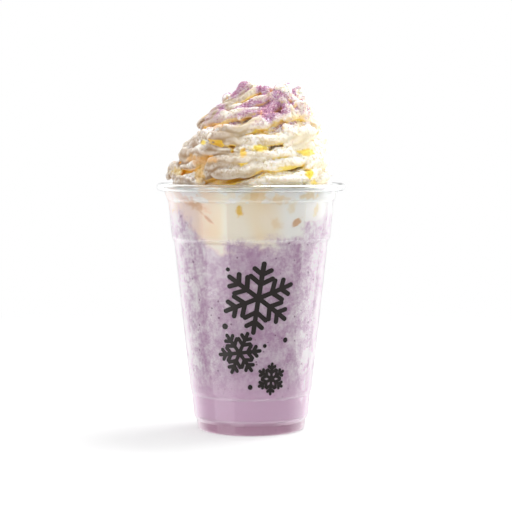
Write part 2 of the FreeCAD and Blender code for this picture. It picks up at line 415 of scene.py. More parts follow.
def inside_levels(cup):
    """Inside corners of the cup's wall, from the floor to the neck, as (radius, height)."""
    draft = math.tan(math.radians(5.5))
    foot_top = cup.foot_radius + cup.foot_height * math.tan(math.radians(4.0))
    lower_foot = cup.foot_height + cup.foot_step_rise
    lower_top = lower_foot + cup.lower_band
    lower_radius = foot_top + cup.foot_step
    lower_top_radius = lower_radius + cup.lower_band * draft
    ring_foot = ring_height(cup)
    band_foot = ring_foot - cup.upper_band
    mouth = RIM_RADIUS - 2 * cup.curl + cup.wall
    neck = mouth - cup.neck_flare
    band_radius = neck - cup.ring_out - cup.upper_band * draft
    outside = [
        (cup.foot_radius, cup.wall),
        (foot_top, cup.foot_height),
        (lower_radius, lower_foot),
        (lower_top_radius, lower_top),
        (lower_top_radius + cup.lower_step, lower_top + cup.lower_step_rise),
        (band_radius - cup.upper_step, band_foot - cup.upper_step_rise),
        (band_radius, band_foot),
        (neck - cup.ring_out, ring_foot),
        (neck, ring_foot + cup.ring_rise),
        (mouth, CUP_TOP - cup.curl),
    ]
    return [(radius - cup.wall, height) for radius, height in outside]


def inside_radius(levels, height):
    """Inside radius of the cup at a height."""
    radii = [radius for radius, level in levels]
    return float(np.interp(height, [level for radius, level in levels], radii))


def upper_step_height(cup):
    """Height of the foot of the upper band."""
    return ring_height(cup) - cup.upper_band


def rounded(corners, radius, steps=5):
    """The line through the corners, with each inner corner rounded."""
    line = [Vector(corners[0])]
    for before, corner, after in zip(corners, corners[1:], corners[2:]):
        before, corner, after = Vector(before), Vector(corner), Vector(after)
        back, ahead = (before - corner).normalized(), (after - corner).normalized()
        half = (math.pi - back.angle(ahead)) / 2
        reach = min(radius * math.tan(half), 0.45 * min((before - corner).length, (after - corner).length))
        bent = reach / math.tan(half)
        centre = corner + (back + ahead).normalized() * (bent / math.cos(half))
        first, last = corner + back * reach - centre, corner + ahead * reach - centre
        for step in range(steps + 1):
            line.append(centre + first.lerp(last, step / steps).normalized() * bent)
    return line + [Vector(corners[-1])]


def divided(line, spacing):
    """The line with more points, none further apart than a spacing."""
    points = [line[0]]
    for start, end in zip(line, line[1:]):
        parts = max(math.ceil((end - start).length / spacing), 1)
        points += [start.lerp(end, part / parts) for part in range(1, parts + 1)]
    return points


def beside(line, distance):
    """A line that runs beside another at a distance, on the outside of the cup."""
    moved = []
    for place, point in enumerate(line):
        ahead = line[min(place + 1, len(line) - 1)] - line[max(place - 1, 0)]
        moved.append(point + Vector((ahead.y, -ahead.x)).normalized() * distance)
    return moved


# ---------------------------------------------------------------- materials


def clear_pet(finish):
    """Thermoformed PET: clear and glossy, with soft waves in its reflections and whitish lines at its steps."""
    material, tree = new_material("thermoformed clear PET")
    place = add(tree, "ShaderNodeTexCoord").outputs["Object"]
    drawn = add(tree, "ShaderNodeMapping", {"Vector": place, "Scale": (1.0, 1.0, 0.3)})
    wide = add(tree, "ShaderNodeTexNoise", {"Vector": drawn, "Scale": 1 / (14 * MM), "Detail": 1.0})
    bump = add(tree, "ShaderNodeBump", {"Height": wide, "Strength": 0.3, "Distance": 0.5 * MM})
    skin = add(
        tree,
        "ShaderNodeBsdfPrincipled",
        {"Base Color": finish.clear, "Roughness": 0.03, "IOR": 1.57, "Transmission Weight": 1.0, "Normal": bump},
    )
    # A little white is mixed in where the plastic is bent over a step, which draws pale lines there.
    bent = add(tree, "ShaderNodeAttribute", attribute_name="bent").outputs["Fac"]
    whitened = add(tree, "ShaderNodeMath", {0: bent, 1: 0.16}, operation="MULTIPLY")
    white = add(tree, "ShaderNodeBsdfPrincipled", {"Base Color": (1, 1, 1, 1), "Roughness": 0.25})
    both = add(tree, "ShaderNodeMixShader", {0: whitened, 1: skin, 2: white})
    add(tree, "ShaderNodeOutputMaterial", {"Surface": both})
    return material


def cloud_between(tree, place, width, detail, low, high, roughness=0.6, distortion=0.0):
    """A soft pattern from 0 to 1, with features of a width, which rises between two levels of noise."""
    cloud = add(
        tree,
        "ShaderNodeTexNoise",
        {"Vector": place, "Scale": 1 / width, "Detail": detail, "Roughness": roughness, "Distortion": distortion},
    )
    return add(
        tree,
        "ShaderNodeMapRange",
        {"Value": cloud, "From Min": low, "From Max": high},
        interpolation_type="SMOOTHSTEP",
    )


def specks(tree, place, spacing, rarest, largest):
    """Round dots about a spacing apart, of different sizes: 1 in a dot and 0 outside."""
    cells = add(tree, "ShaderNodeTexVoronoi", {"Vector": place, "Scale": 1 / spacing})
    chosen = add(tree, "ShaderNodeSeparateColor", {"Color": cells.outputs["Color"]})
    size = add(
        tree,
        "ShaderNodeMapRange",
        {"Value": chosen, "From Min": rarest, "From Max": 1.0, "To Min": 0.0, "To Max": largest},
    )
    inner = add(tree, "ShaderNodeMath", {0: size, 1: 0.55}, operation="MULTIPLY")
    return add(
        tree,
        "ShaderNodeMapRange",
        {"Value": cells.outputs["Distance"], "From Min": size, "From Max": inner, "To Min": 0.0, "To Max": 1.0},
    )


def blended_ice(tree, place, across, height, finish):
    """Colour of the drink: frosted mottles with dark specks over a smooth foot."""
    # Ice grains melt together into mottles 3 to 7 mm wide, with finer crumbs of 1 to 2 mm between them.
    wide = cloud_between(tree, place, 7 * MM, 5.0, 0.38, 0.62, 0.75)
    fine = cloud_between(tree, place, 1.7 * MM, 3.0, 0.38, 0.64, 0.65)
    frosted = add(tree, "ShaderNodeMath", {0: fine, 1: 0.35}, operation="MULTIPLY")
    frosted = add(tree, "ShaderNodeMath", {0: wide, 1: 0.65, 2: frosted}, operation="MULTIPLY_ADD")
    # Both sides are painted paler than the front and the back: painted light, where the white surroundings brighten the
    # drink.
    aside = add(tree, "ShaderNodeMath", {0: across}, operation="ABSOLUTE")
    painted_side_light = add(
        tree,
        "ShaderNodeMapRange",
        {"Value": aside, "From Min": 8 * MM, "From Max": 30 * MM, "To Min": 0.66, "To Max": 1.15},
        interpolation_type="SMOOTHSTEP",
    )
    frosted = add(tree, "ShaderNodeMath", {0: frosted, 1: painted_side_light}, operation="MULTIPLY", use_clamp=True)
    body = add(tree, "ShaderNodeMix", {"Factor": frosted, "A": finish.lilac, "B": finish.frost}, data_type="RGBA")
    # The drink is smooth where the ice has risen away from the foot.
    risen = add(
        tree,
        "ShaderNodeMapRange",
        {"Value": height, "From Min": 14 * MM, "From Max": 36 * MM},
        interpolation_type="SMOOTHSTEP",
    )
    # Painted shade: the drink is painted darker in the foot ring, where little light reaches.
    sunk = add(
        tree,
        "ShaderNodeMapRange",
        {"Value": height, "From Min": 4 * MM, "From Max": 9 * MM},
        interpolation_type="SMOOTHSTEP",
    )
    smooth = add(tree, "ShaderNodeMix", {"Factor": sunk, "A": finish.foot, "B": finish.settled}, data_type="RGBA")
    drink = add(tree, "ShaderNodeMix", {"Factor": risen, "A": smooth, "B": body}, data_type="RGBA")
    # Dark specks and small bubbles, up to 1.5 mm wide, and many faint ones up to 0.8 mm wide.
    few = specks(tree, place, 3.1 * MM, 0.4, 0.25)
    many = specks(tree, place, 1.9 * MM, 0.55, 0.2)
    faint = add(tree, "ShaderNodeMath", {0: many, 1: 0.3}, operation="MULTIPLY")
    dark = add(tree, "ShaderNodeMath", {0: few, 1: 0.9, 2: faint}, operation="MULTIPLY_ADD", use_clamp=True)
    floating = add(tree, "ShaderNodeMath", {0: risen, 1: 0.85, 2: 0.15}, operation="MULTIPLY_ADD")
    shown = add(tree, "ShaderNodeMath", {0: dark, 1: floating}, operation="MULTIPLY")
    return add(tree, "ShaderNodeMix", {"Factor": shown, "A": drink, "B": finish.speck}, data_type="RGBA")


def cream_at_wall(tree, place, across, height, finish):
    """Colour of cream pressed against the wall: painted whiter to the right, where the light falls, with tan upright
    bands of painted shade and air pockets of painted golden glow and brown shade.
    """
    upright = add(tree, "ShaderNodeMapping", {"Vector": place, "Scale": (1.0, 1.0, 0.35)})
    bands = cloud_between(tree, upright, 16 * MM, 1.0, 0.32, 0.68)
    # Painted light and shade: the cream is whiter to the right, where the light falls, and tan bands of painted shade
    # lie towards the left.
    shaded = add(
        tree,
        "ShaderNodeMapRange",
        {"Value": across, "From Min": 1 * MM, "From Max": 19 * MM, "To Min": 1.0, "To Max": 0.05},
        interpolation_type="SMOOTHSTEP",
    )
    in_band = add(
        tree, "ShaderNodeMapRange", {"Value": height, "From Min": CUP_TOP - 30 * MM, "From Max": CUP_TOP - 24 * MM}
    )
    bands = product(tree, bands, shaded, in_band)
    cream = add(
        tree, "ShaderNodeMix", {"Factor": shaded, "A": finish.in_cup_lit, "B": finish.in_cup}, data_type="RGBA"
    )
    cream = add(tree, "ShaderNodeMix", {"Factor": bands, "A": cream, "B": finish.in_cup_shade}, data_type="RGBA")
    leftward = add(
        tree, "ShaderNodeMapRange", {"Value": across, "From Min": -14 * MM, "From Max": -30 * MM, "To Max": 0.8}
    )
    cream = add(tree, "ShaderNodeMix", {"Factor": leftward, "A": cream, "B": finish.in_cup_rose}, data_type="RGBA")
    # Over the ring, lumps of froth with rounder, whiter outlines.
    froth = cloud_between(tree, place, 7 * MM, 2.0, 0.47, 0.53, 0.5)
    neck = add(
        tree,
        "ShaderNodeMapRange",
        {"Value": height, "From Min": CUP_TOP - 9.4 * MM, "From Max": CUP_TOP - 8.6 * MM, "To Max": 0.7},
    )
    froth = add(tree, "ShaderNodeMath", {0: froth, 1: neck}, operation="MULTIPLY")
    cream = add(tree, "ShaderNodeMix", {"Factor": froth, "A": cream, "B": finish.froth}, data_type="RGBA")
    # Air pockets are painted: a golden glow, and brown shade where they are less golden.
    pocket = add(tree, "ShaderNodeAttribute", attribute_name="pocket").outputs["Fac"]
    golden = add(tree, "ShaderNodeAttribute", attribute_name="golden").outputs["Fac"]
    hollow = add(tree, "ShaderNodeMix", {"Factor": golden, "A": finish.pocket_shade, "B": finish.pocket}, data_type="RGBA")
    return add(tree, "ShaderNodeMix", {"Factor": pocket, "A": cream, "B": hollow}, data_type="RGBA")


def marbled_filling(name, finish):
    """Blended ice, milk and taro, which runs into the cream over a few millimetres."""
    material, tree = new_material(name)
    place = add(tree, "ShaderNodeTexCoord").outputs["Object"]
    where = add(tree, "ShaderNodeSeparateXYZ", {"Vector": place}).outputs
    drink = blended_ice(tree, place, where["X"], where["Z"], finish)
    cream = cream_at_wall(tree, place, where["X"], where["Z"], finish)
    line = add(tree, "ShaderNodeAttribute", attribute_name="above_line").outputs["Fac"]
    # Cream and drink run into each other over a few millimetres, in drifts and small flecks.
    drifts = add(
        tree, "ShaderNodeTexNoise", {"Vector": place, "Scale": 1 / (9 * MM), "Detail": 5.0, "Roughness": 0.68}
    )
    shifted = add(tree, "ShaderNodeMath", {0: drifts, 1: 34.0, 2: -17.0}, operation="MULTIPLY_ADD")
    blended = add(tree, "ShaderNodeMath", {0: line, 1: shifted}, operation="ADD")
    creamy = add(
        tree,
        "ShaderNodeMapRange",
        {"Value": blended, "From Min": -4.0, "From Max": 5.0},
        interpolation_type="SMOOTHSTEP",
    )
    skin_colour = add(tree, "ShaderNodeMix", {"Factor": creamy, "A": drink, "B": cream}, data_type="RGBA")
    skin = add(
        tree,
        "ShaderNodeBsdfPrincipled",
        {
            "Base Color": skin_colour,
            "Roughness": 0.55,
            "Subsurface Weight": 0.3,
            "Subsurface Radius": (1.0, 0.8, 0.9),
            "Subsurface Scale": 0.8 * MM,
            "Specular IOR Level": 0.3,
        },
    )
    add(tree, "ShaderNodeOutputMaterial", {"Surface": skin})
    return material


def whipped_cream(finish):
    """Whipped cream: satin foam with taro dust, with a painted white highlight on its crests, painted tan shade in its
    folds and on its side away from the light, and a painted golden glow in its folds.
    """
    material, tree = new_material("piped whipped cream")
    place = add(tree, "ShaderNodeTexCoord").outputs["Object"]
    fold = add(tree, "ShaderNodeAttribute", attribute_name="fold").outputs["Fac"]
    raised = add(tree, "ShaderNodeAttribute", attribute_name="raised").outputs["Fac"]
    dust = add(tree, "ShaderNodeAttribute", attribute_name="dust").outputs["Fac"]
    # Painted shade: tan in the folds, and darker on the left, away from the light.
    shaded = add(tree, "ShaderNodeMapRange", {"Value": fold, "From Min": 0.05, "From Max": 0.4})
    across = add(tree, "ShaderNodeSeparateXYZ", {"Vector": place}).outputs["X"]
    lit = add(tree, "ShaderNodeMapRange", {"Value": across, "From Min": -18 * MM, "From Max": 14 * MM})
    shade = add(
        tree, "ShaderNodeMix", {"Factor": lit, "A": finish.cream_shade, "B": finish.cream_lit}, data_type="RGBA"
    )
    warm = add(tree, "ShaderNodeMix", {"Factor": lit, "A": finish.cream_left, "B": finish.cream}, data_type="RGBA")
    warm = add(tree, "ShaderNodeMix", {"Factor": shaded, "A": warm, "B": shade}, data_type="RGBA")
    # Painted glow: the folds are painted golden and the deepest ones deeper gold, less where powder lies.
    patches = add(tree, "ShaderNodeTexNoise", {"Vector": place, "Scale": 1 / (10 * MM), "Detail": 2.0})
    glow = add(tree, "ShaderNodeMath", {0: patches, 1: fold, 2: fold}, operation="MULTIPLY_ADD")
    folds = add(
        tree,
        "ShaderNodeMapRange",
        {"Value": glow, "From Min": 0.58, "From Max": 0.78},
        interpolation_type="SMOOTHSTEP",
    )
    depths = add(
        tree,
        "ShaderNodeMapRange",
        {"Value": glow, "From Min": 0.85, "From Max": 1.2},
        interpolation_type="SMOOTHSTEP",
    )
    far_left = add(tree, "ShaderNodeMapRange", {"Value": across, "From Min": -26 * MM, "From Max": -12 * MM})
    bare = add(tree, "ShaderNodeMath", {0: dust, 1: -0.8, 2: 1.0}, operation="MULTIPLY_ADD")
    folds = add(tree, "ShaderNodeMath", {0: folds, 1: bare}, operation="MULTIPLY")
    depths = add(tree, "ShaderNodeMath", {0: depths, 1: bare}, operation="MULTIPLY")
    crevice = add(
        tree, "ShaderNodeMix", {"Factor": far_left, "A": finish.crevice_left, "B": finish.crevice}, data_type="RGBA"
    )
    warm = add(tree, "ShaderNodeMix", {"Factor": folds, "A": warm, "B": crevice}, data_type="RGBA")
    warm = add(tree, "ShaderNodeMix", {"Factor": depths, "A": warm, "B": finish.deep}, data_type="RGBA")
    # Painted highlight: thin crests and torn froth are painted whiter.
    froth = add(tree, "ShaderNodeAttribute", attribute_name="froth").outputs["Fac"]
    bubbles = cloud_between(tree, place, 2.6 * MM, 4.0, 0.36, 0.56, 0.75)
    bubbles = add(tree, "ShaderNodeMath", {0: froth, 1: bubbles}, operation="MULTIPLY")
    white = add(tree, "ShaderNodeMath", {0: raised, 1: bubbles}, operation="MAXIMUM")
    warm = add(tree, "ShaderNodeMix", {"Factor": white, "A": warm, "B": finish.crest_highlight}, data_type="RGBA")
    # Painted glow: hollows between the folds are painted golden, and amber where they go deep.
    hollow = add(tree, "ShaderNodeAttribute", attribute_name="hollow").outputs["Fac"]
    amber = add(tree, "ShaderNodeAttribute", attribute_name="amber").outputs["Fac"]
    golden = add(tree, "ShaderNodeMix", {"Factor": amber, "A": finish.crevice, "B": finish.amber}, data_type="RGBA")
    warm = add(tree, "ShaderNodeMix", {"Factor": hollow, "A": warm, "B": golden}, data_type="RGBA")
    tinted = add(tree, "ShaderNodeMath", {0: dust, 1: 0.6}, operation="MULTIPLY")
    warm = add(tree, "ShaderNodeMix", {"Factor": tinted, "A": warm, "B": finish.cream_dusted}, data_type="RGBA")
    # The dust between the grains is drawn as specks of about 0.6 mm, as its own grains are too fine to show.
    sifted = add(
        tree, "ShaderNodeTexNoise", {"Vector": place, "Scale": 1 / (1.0 * MM), "Detail": 3.0, "Roughness": 0.85}
    )
    sown = add(tree, "ShaderNodeMath", {0: dust, 1: 0.27, 2: sifted}, operation="MULTIPLY_ADD")
    dusted = add(
        tree,
        "ShaderNodeMapRange",
        {"Value": sown, "From Min": 0.71, "From Max": 0.79, "To Max": 0.85},
        interpolation_type="SMOOTHSTEP",
    )
    coarse = add(tree, "ShaderNodeTexNoise", {"Vector": place, "Scale": 1 / (1.8 * MM), "Detail": 2.0})
    coarse = add(tree, "ShaderNodeMapRange", {"Value": coarse, "From Min": 0.5, "From Max": 0.62, "To Max": 0.75})
    grains = add(
        tree, "ShaderNodeMix", {"Factor": coarse, "A": finish.powder, "B": finish.powder_dark}, data_type="RGBA"
    )
    skin_colour = add(tree, "ShaderNodeMix", {"Factor": dusted, "A": warm, "B": grains}, data_type="RGBA")
    grain = add(
        tree, "ShaderNodeTexNoise", {"Vector": place, "Scale": 1 / (0.8 * MM), "Detail": 3.0, "Roughness": 0.6}
    )
    bump = add(tree, "ShaderNodeBump", {"Height": grain, "Strength": 0.5, "Distance": 0.15 * MM})
    skin = add(
        tree,
        "ShaderNodeBsdfPrincipled",
        {
            "Base Color": skin_colour,
            "Roughness": 0.55,
            "Subsurface Weight": 0.6,
            "Subsurface Radius": (1.0, 0.8, 0.5),
            "Subsurface Scale": 2.0 * MM,
            "Specular IOR Level": 0.25,
            "Normal": bump,
        },
    )
    add(tree, "ShaderNodeOutputMaterial", {"Surface": skin})
    return material


def taro_powder(finish):
    """Ground dried taro: dull, dry grains from pale purple to plum."""
    material, tree = new_material("ground taro powder")
    place = add(tree, "ShaderNodeTexCoord").outputs["Object"]
    tone = add(tree, "ShaderNodeTexNoise", {"Vector": place, "Scale": 1 / (1.2 * MM), "Detail": 1.0})
    dark = add(tree, "ShaderNodeMapRange", {"Value": tone, "From Min": 0.45, "From Max": 0.7})
    grains = add(
        tree, "ShaderNodeMix", {"Factor": dark, "A": finish.powder, "B": finish.powder_dark}, data_type="RGBA"
    )
    skin = add(tree, "ShaderNodeBsdfPrincipled", {"Base Color": grains, "Roughness": 0.9})
    add(tree, "ShaderNodeOutputMaterial", {"Surface": skin})
    return material


def screen_ink(finish):
    """Screen-printed ink: near black, a touch uneven where it was squeezed through the mesh."""
    material, tree = new_material("screen-printed ink")
    place = add(tree, "ShaderNodeTexCoord").outputs["Object"]
    weave = add(tree, "ShaderNodeTexNoise", {"Vector": place, "Scale": 1 / (0.8 * MM), "Detail": 2.0})
    rough = add(
        tree, "ShaderNodeMapRange", {"Value": weave, "From Min": 0.3, "From Max": 0.7, "To Min": 0.28, "To Max": 0.42}
    )
    skin = add(
        tree, "ShaderNodeBsdfPrincipled", {"Base Color": finish.ink, "Roughness": rough, "Specular IOR Level": 0.3}
    )
    add(tree, "ShaderNodeOutputMaterial", {"Surface": skin})
    return material


def pale_floor(finish, bright, fade):
    """Matt white board: seen near white, dark enough under the cup to hold its shadow, and white in the distance."""
    material, tree = new_material("matt white board")
    place = add(tree, "ShaderNodeTexCoord").outputs["Object"]
    away = add(tree, "ShaderNodeVectorMath", {0: place}, operation="LENGTH").outputs["Value"]
    far = add(
        tree,
        "ShaderNodeMapRange",
        {"Value": away, "From Min": 0.12, "From Max": fade, "To Min": bright},
        interpolation_type="SMOOTHSTEP",
    )
    ray = add(tree, "ShaderNodeLightPath").outputs
    seen = add(
        tree,
        "ShaderNodeMath",
        {0: ray["Is Camera Ray"], 1: ray["Is Transmission Ray"]},
        operation="ADD",
        use_clamp=True,
    )
    part = add(tree, "ShaderNodeMath", {0: seen, 1: far}, operation="MULTIPLY")
    board = add(tree, "ShaderNodeBsdfDiffuse", {"Color": finish.floor})
    white = add(tree, "ShaderNodeEmission", {"Color": (1, 1, 1, 1), "Strength": 1.0})
    both = add(tree, "ShaderNodeMixShader", {0: part, 1: board, 2: white})
    # The tapered cup mirrors what lies below it, so its reflections look past the board to the surroundings.
    past = add(tree, "ShaderNodeBsdfTransparent")
    skin = add(tree, "ShaderNodeMixShader", {0: ray["Is Glossy Ray"], 1: both, 2: past})
    add(tree, "ShaderNodeOutputMaterial", {"Surface": skin})
    return material


# ---------------------------------------------------------------- pieces


class FRAPPE_OT_cup(bpy.types.Operator):
    """Turns the clear cup from its inside line and gives it its wall"""

    bl_idname = "frappe.cup"
    bl_label = "Clear Cup"

    def execute(self, context):
        cup, finish = context.scene.frappe_cup, context.scene.frappe_finish
        levels = inside_levels(cup)
        floor_line = [
            (0.0, cup.push_up + cup.wall),
            (cup.push_up_radius, cup.push_up + cup.wall),
            (cup.foot_radius - cup.wall - cup.stand_ring, cup.wall),
        ]
        line = rounded(floor_line + levels, cup.corner)
        curl_x, curl_z = RIM_RADIUS - cup.curl, CUP_TOP - cup.curl
        curl_steps, curl_arc = 24, 250
        for step in range(1, curl_steps + 1):
            angle = math.radians(180 - curl_arc * step / curl_steps)
            line.append(Vector((curl_x + cup.curl * math.cos(angle), curl_z + cup.curl * math.sin(angle))))
        spacing, fading = 0.9 * MM, 0.9 * MM
        line = divided(line, spacing)
        section = line[1:] + list(reversed(beside(line, cup.wall)))[:-1]
        # The wall is bent most at both ends of the lower band, at the foot of the upper band and over the ring.
        steps = [levels[place][1] for place in (2, 3, 6, 8)]
        points = []
        for radius, height in section:
            points += [on_ring(radius, angle, height) for angle in directions(cup.around)]
        points += [(0.0, 0.0, line[0].y), (0.0, 0.0, line[0].y - cup.wall)]
        faces = [tuple(reversed(face)) for face in ring_faces(len(section), cup.around, True, True)]
        piece = new_piece("clear_cup", mesh_from("clear_cup", points, faces))
        bent = [max(1 - abs(p[2] - step) / fading for step in steps) for p in points]
        store(piece.data, "bent", [max(value, 0.0) for value in bent])
        piece.data.materials.append(clear_pet(finish))
        ride_as(piece, "clear_cup", "cup")
        return {"FINISHED"}


def drink_line(fill, cup, angle):
    """Height of the drink's edge at the wall: low in front and behind, climbing unevenly at both sides."""
    lowest = upper_step_height(cup) + fill.above_step
    climb = fill.side_climb * (1 + math.cos(2 * angle)) / 2
    ripple = fill.ripple * (1 + math.sin(5 * angle + 1))
    loose = noise.noise(Vector((math.cos(angle), math.sin(angle), 0.0)) * 3.1) * fill.unevenness
    return lowest + climb + ripple + loose


def above_marbling(fill, cup, angle, height):
    """How many millimetres a place at the wall lies above the line where cream and drink mix."""
    side = smoothstep(abs(math.cos(angle)), 0.4, 1.0)
    loose = noise.noise(Vector((math.cos(angle), math.sin(angle), 0.5)) * 2.3) * 2 * fill.unevenness
    return (height - upper_step_height(cup) - fill.marbling_low - fill.marbling_climb * side - loose) / MM


def filling_piece(name, points, faces, kept, material):
    """A piece of the filling, with the numbers at its points that its material reads, as {name: values}."""
    mesh = mesh_from(name, points, faces)
    for attribute, values in kept.items():
        store(mesh, attribute, values)
    mesh.set_sharp_from_angle(angle=SHARP_CORNER)
    mesh.materials.append(material)
    return new_piece(name, mesh)


class FRAPPE_OT_drink(bpy.types.Operator):
    """Makes the blended taro drink, which reaches just into the cup's wall"""

    bl_idname = "frappe.drink"
    bl_label = "Blended Drink"

    def execute(self, context):
        scene = context.scene
        cup, fill = scene.frappe_cup, scene.frappe_fill
        levels = inside_levels(cup)
        floor = [
            (cup.push_up_radius, cup.push_up + cup.wall - fill.sink),
            (cup.foot_radius - cup.wall - cup.stand_ring, cup.wall - fill.sink),
            (levels[0][0], cup.wall - fill.sink),
        ]
        up_wall = 110
        points, above = [], []
        for radius, height in floor:
            points += [on_ring(radius, angle, height) for angle in directions(fill.around)]
            above += [ONLY_DRINK] * fill.around
        for step in range(1, up_wall + 1):
            for angle in directions(fill.around):
                top = drink_line(fill, cup, angle)
                height = cup.wall + (top - cup.wall) * step / up_wall
                radius = inside_radius(levels, height) + fill.sink
                points.append(on_ring(radius, angle, height))
                above.append(above_marbling(fill, cup, angle, height))
        middle = drink_line(fill, cup, math.pi / 2)
        points += [(0, 0, floor[0][1]), (0, 0, middle)]
        above += [ONLY_DRINK, 0.0]
        faces = ring_faces(len(floor) + up_wall, fill.around, True, True)
        kept = {"above_line": above, "pocket": [0.0] * len(points), "golden": [0.0] * len(points)}
        material = marbled_filling("blended taro ice", scene.frappe_finish)
        piece = filling_piece("blended_drink", points, faces, kept, material)
        ride_as(piece, "taro_drink", "taro_drink")
        return {"FINISHED"}


# Air pockets between cream and wall, painted with a golden glow and brown shade: degrees to the right of the front,
# millimetres over the cup's upper step, half width and half height in millimetres, rise to the right, how golden its
# painted glow is and how clearly it shows.
POCKETS = [
    (-41, 17.0, 7.5, 2.0, -0.25, 0.25, 0.65),
    (-31, 10.8, 3.2, 1.1, -0.75, 0.1, 0.75),
    (-7.5, 14.5, 1.5, 2.3, 0.0, 1.0, 1.0),
    (33, 8.5, 2.8, 1.6, 0.5, 0.2, 0.8),
    (51, 15.0, 2.0, 3.4, 0.2, 0.8, 0.45),
    (-1, 21.6, 5.5, 2.2, 0.1, 0.8, 0.4),
    (42, 22.0, 7.0, 1.8, 0.0, 0.8, 0.5),
    (18, 20.0, 6.0, 1.8, -0.1, 0.7, 0.4),
    (18, 8.0, 3.0, 3.2, 0.0, 0.6, 0.3),
    (29, 17.0, 2.2, 4.0, 0.1, 0.8, 0.3),
    (-75, 13.0, 4.0, 1.6, 0.3, 0.3, 0.7),
    (84, 9.0, 3.0, 1.2, -0.5, 0.2, 0.8),
    (112, 16.0, 2.0, 2.4, 0.0, 0.9, 0.8),
    (148, 11.0, 4.0, 1.2, 0.4, 0.3, 0.8),
    (183, 15.0, 6.0, 1.8, -0.2, 0.4, 0.6),
    (-118, 14.0, 1.8, 2.6, 0.1, 1.0, 0.9),
    (-148, 9.0, 3.4, 1.0, -0.6, 0.1, 0.9),
]


def pocket_at(place, cup):
    """How clearly an air pocket, with its painted glow and shade, shows at a place at the wall, from 0 to 1, and how
    golden its painted glow is.
    """
    shown, golden = 0.0, 0.0
    bearing = math.degrees(math.atan2(place.x, -place.y))
    reach = place.xy.length / MM
    above = (place.z - upper_step_height(cup)) / MM
    ragged = noise.noise(place / (1.5 * MM)) * 0.45 + noise.noise(place / (3.5 * MM)) * 0.6
    for middle, height, half_width, half_height, rise, gold, clear in POCKETS:
        along = math.radians((bearing - middle + 180) % 360 - 180) * reach
        off = math.hypot(along / half_width, (above - height - rise * along) / half_height)
        here = clear * (1 - smoothstep(off + ragged, 0.2 + 0.5 * clear, 1.3))
        if here > shown:
            shown, golden = here, gold
    return shown, golden


class FRAPPE_OT_mouth_cream(bpy.types.Operator):
    """Makes the cream that fills the mouth of the cup, on top of the drink"""

    bl_idname = "frappe.mouth_cream"
    bl_label = "Cream in the Mouth"

    def execute(self, context):
        scene = context.scene
        cup, fill = scene.frappe_cup, scene.frappe_fill
        levels = inside_levels(cup)
        edge = CUP_TOP - fill.cream_below_rim
        border = 2 * MM
        up_wall, inward = 70, 36
        points, above, hollow, golden = [], [], [], []
        for step in range(up_wall + 1):
            for angle in directions(fill.around):
                foot = drink_line(fill, cup, angle)
                height = foot + (edge - foot) * step / up_wall
                radius = inside_radius(levels, height) + fill.sink
                place = Vector(on_ring(radius, angle, height))
                # Each air pocket is a shallow dent that the material paints with a golden glow and brown shade.
                shown, gold = pocket_at(place, cup)
                deep = fill.pocket * shown * smoothstep(edge - height, 0, border) * smoothstep(height - foot, 0, border)
                points.append((place.x * (1 - deep / radius), place.y * (1 - deep / radius), height))
                above.append(above_marbling(fill, cup, angle, height))
                hollow.append(shown)
                golden.append(gold)
        for step in range(1, inward + 1):
            share_in = step / inward
            for angle in directions(fill.around):
                radius = (inside_radius(levels, edge) + fill.sink) * (1 - 0.96 * share_in)
                place = Vector(on_ring(radius, angle, 0.0))
                lump = noise.noise(place / (7 * MM)) + 0.5 * noise.noise(place / (3 * MM))
                height = edge + (5 * share_in + 2.2 * lump * smoothstep(share_in, 0.0, 0.1)) * MM
                points.append((place.x, place.y, height))
                above.append(ONLY_CREAM)
                hollow.append(0.0)
                golden.append(0.0)
        points += [(0, 0, drink_line(fill, cup, math.pi / 2)), (0, 0, edge)]
        above += [0.0, ONLY_CREAM]
        hollow += [0.0, 0.0]
        golden += [0.0, 0.0]
        faces = ring_faces(up_wall + 1 + inward, fill.around, True, True)
        kept = {"above_line": above, "pocket": hollow, "golden": golden}
        material = marbled_filling("cream against the wall", scene.frappe_finish)
        piece = filling_piece("mouth_cream", points, faces, kept, material)
        ride_as(piece, "whipped_cream")
        return {"FINISHED"}


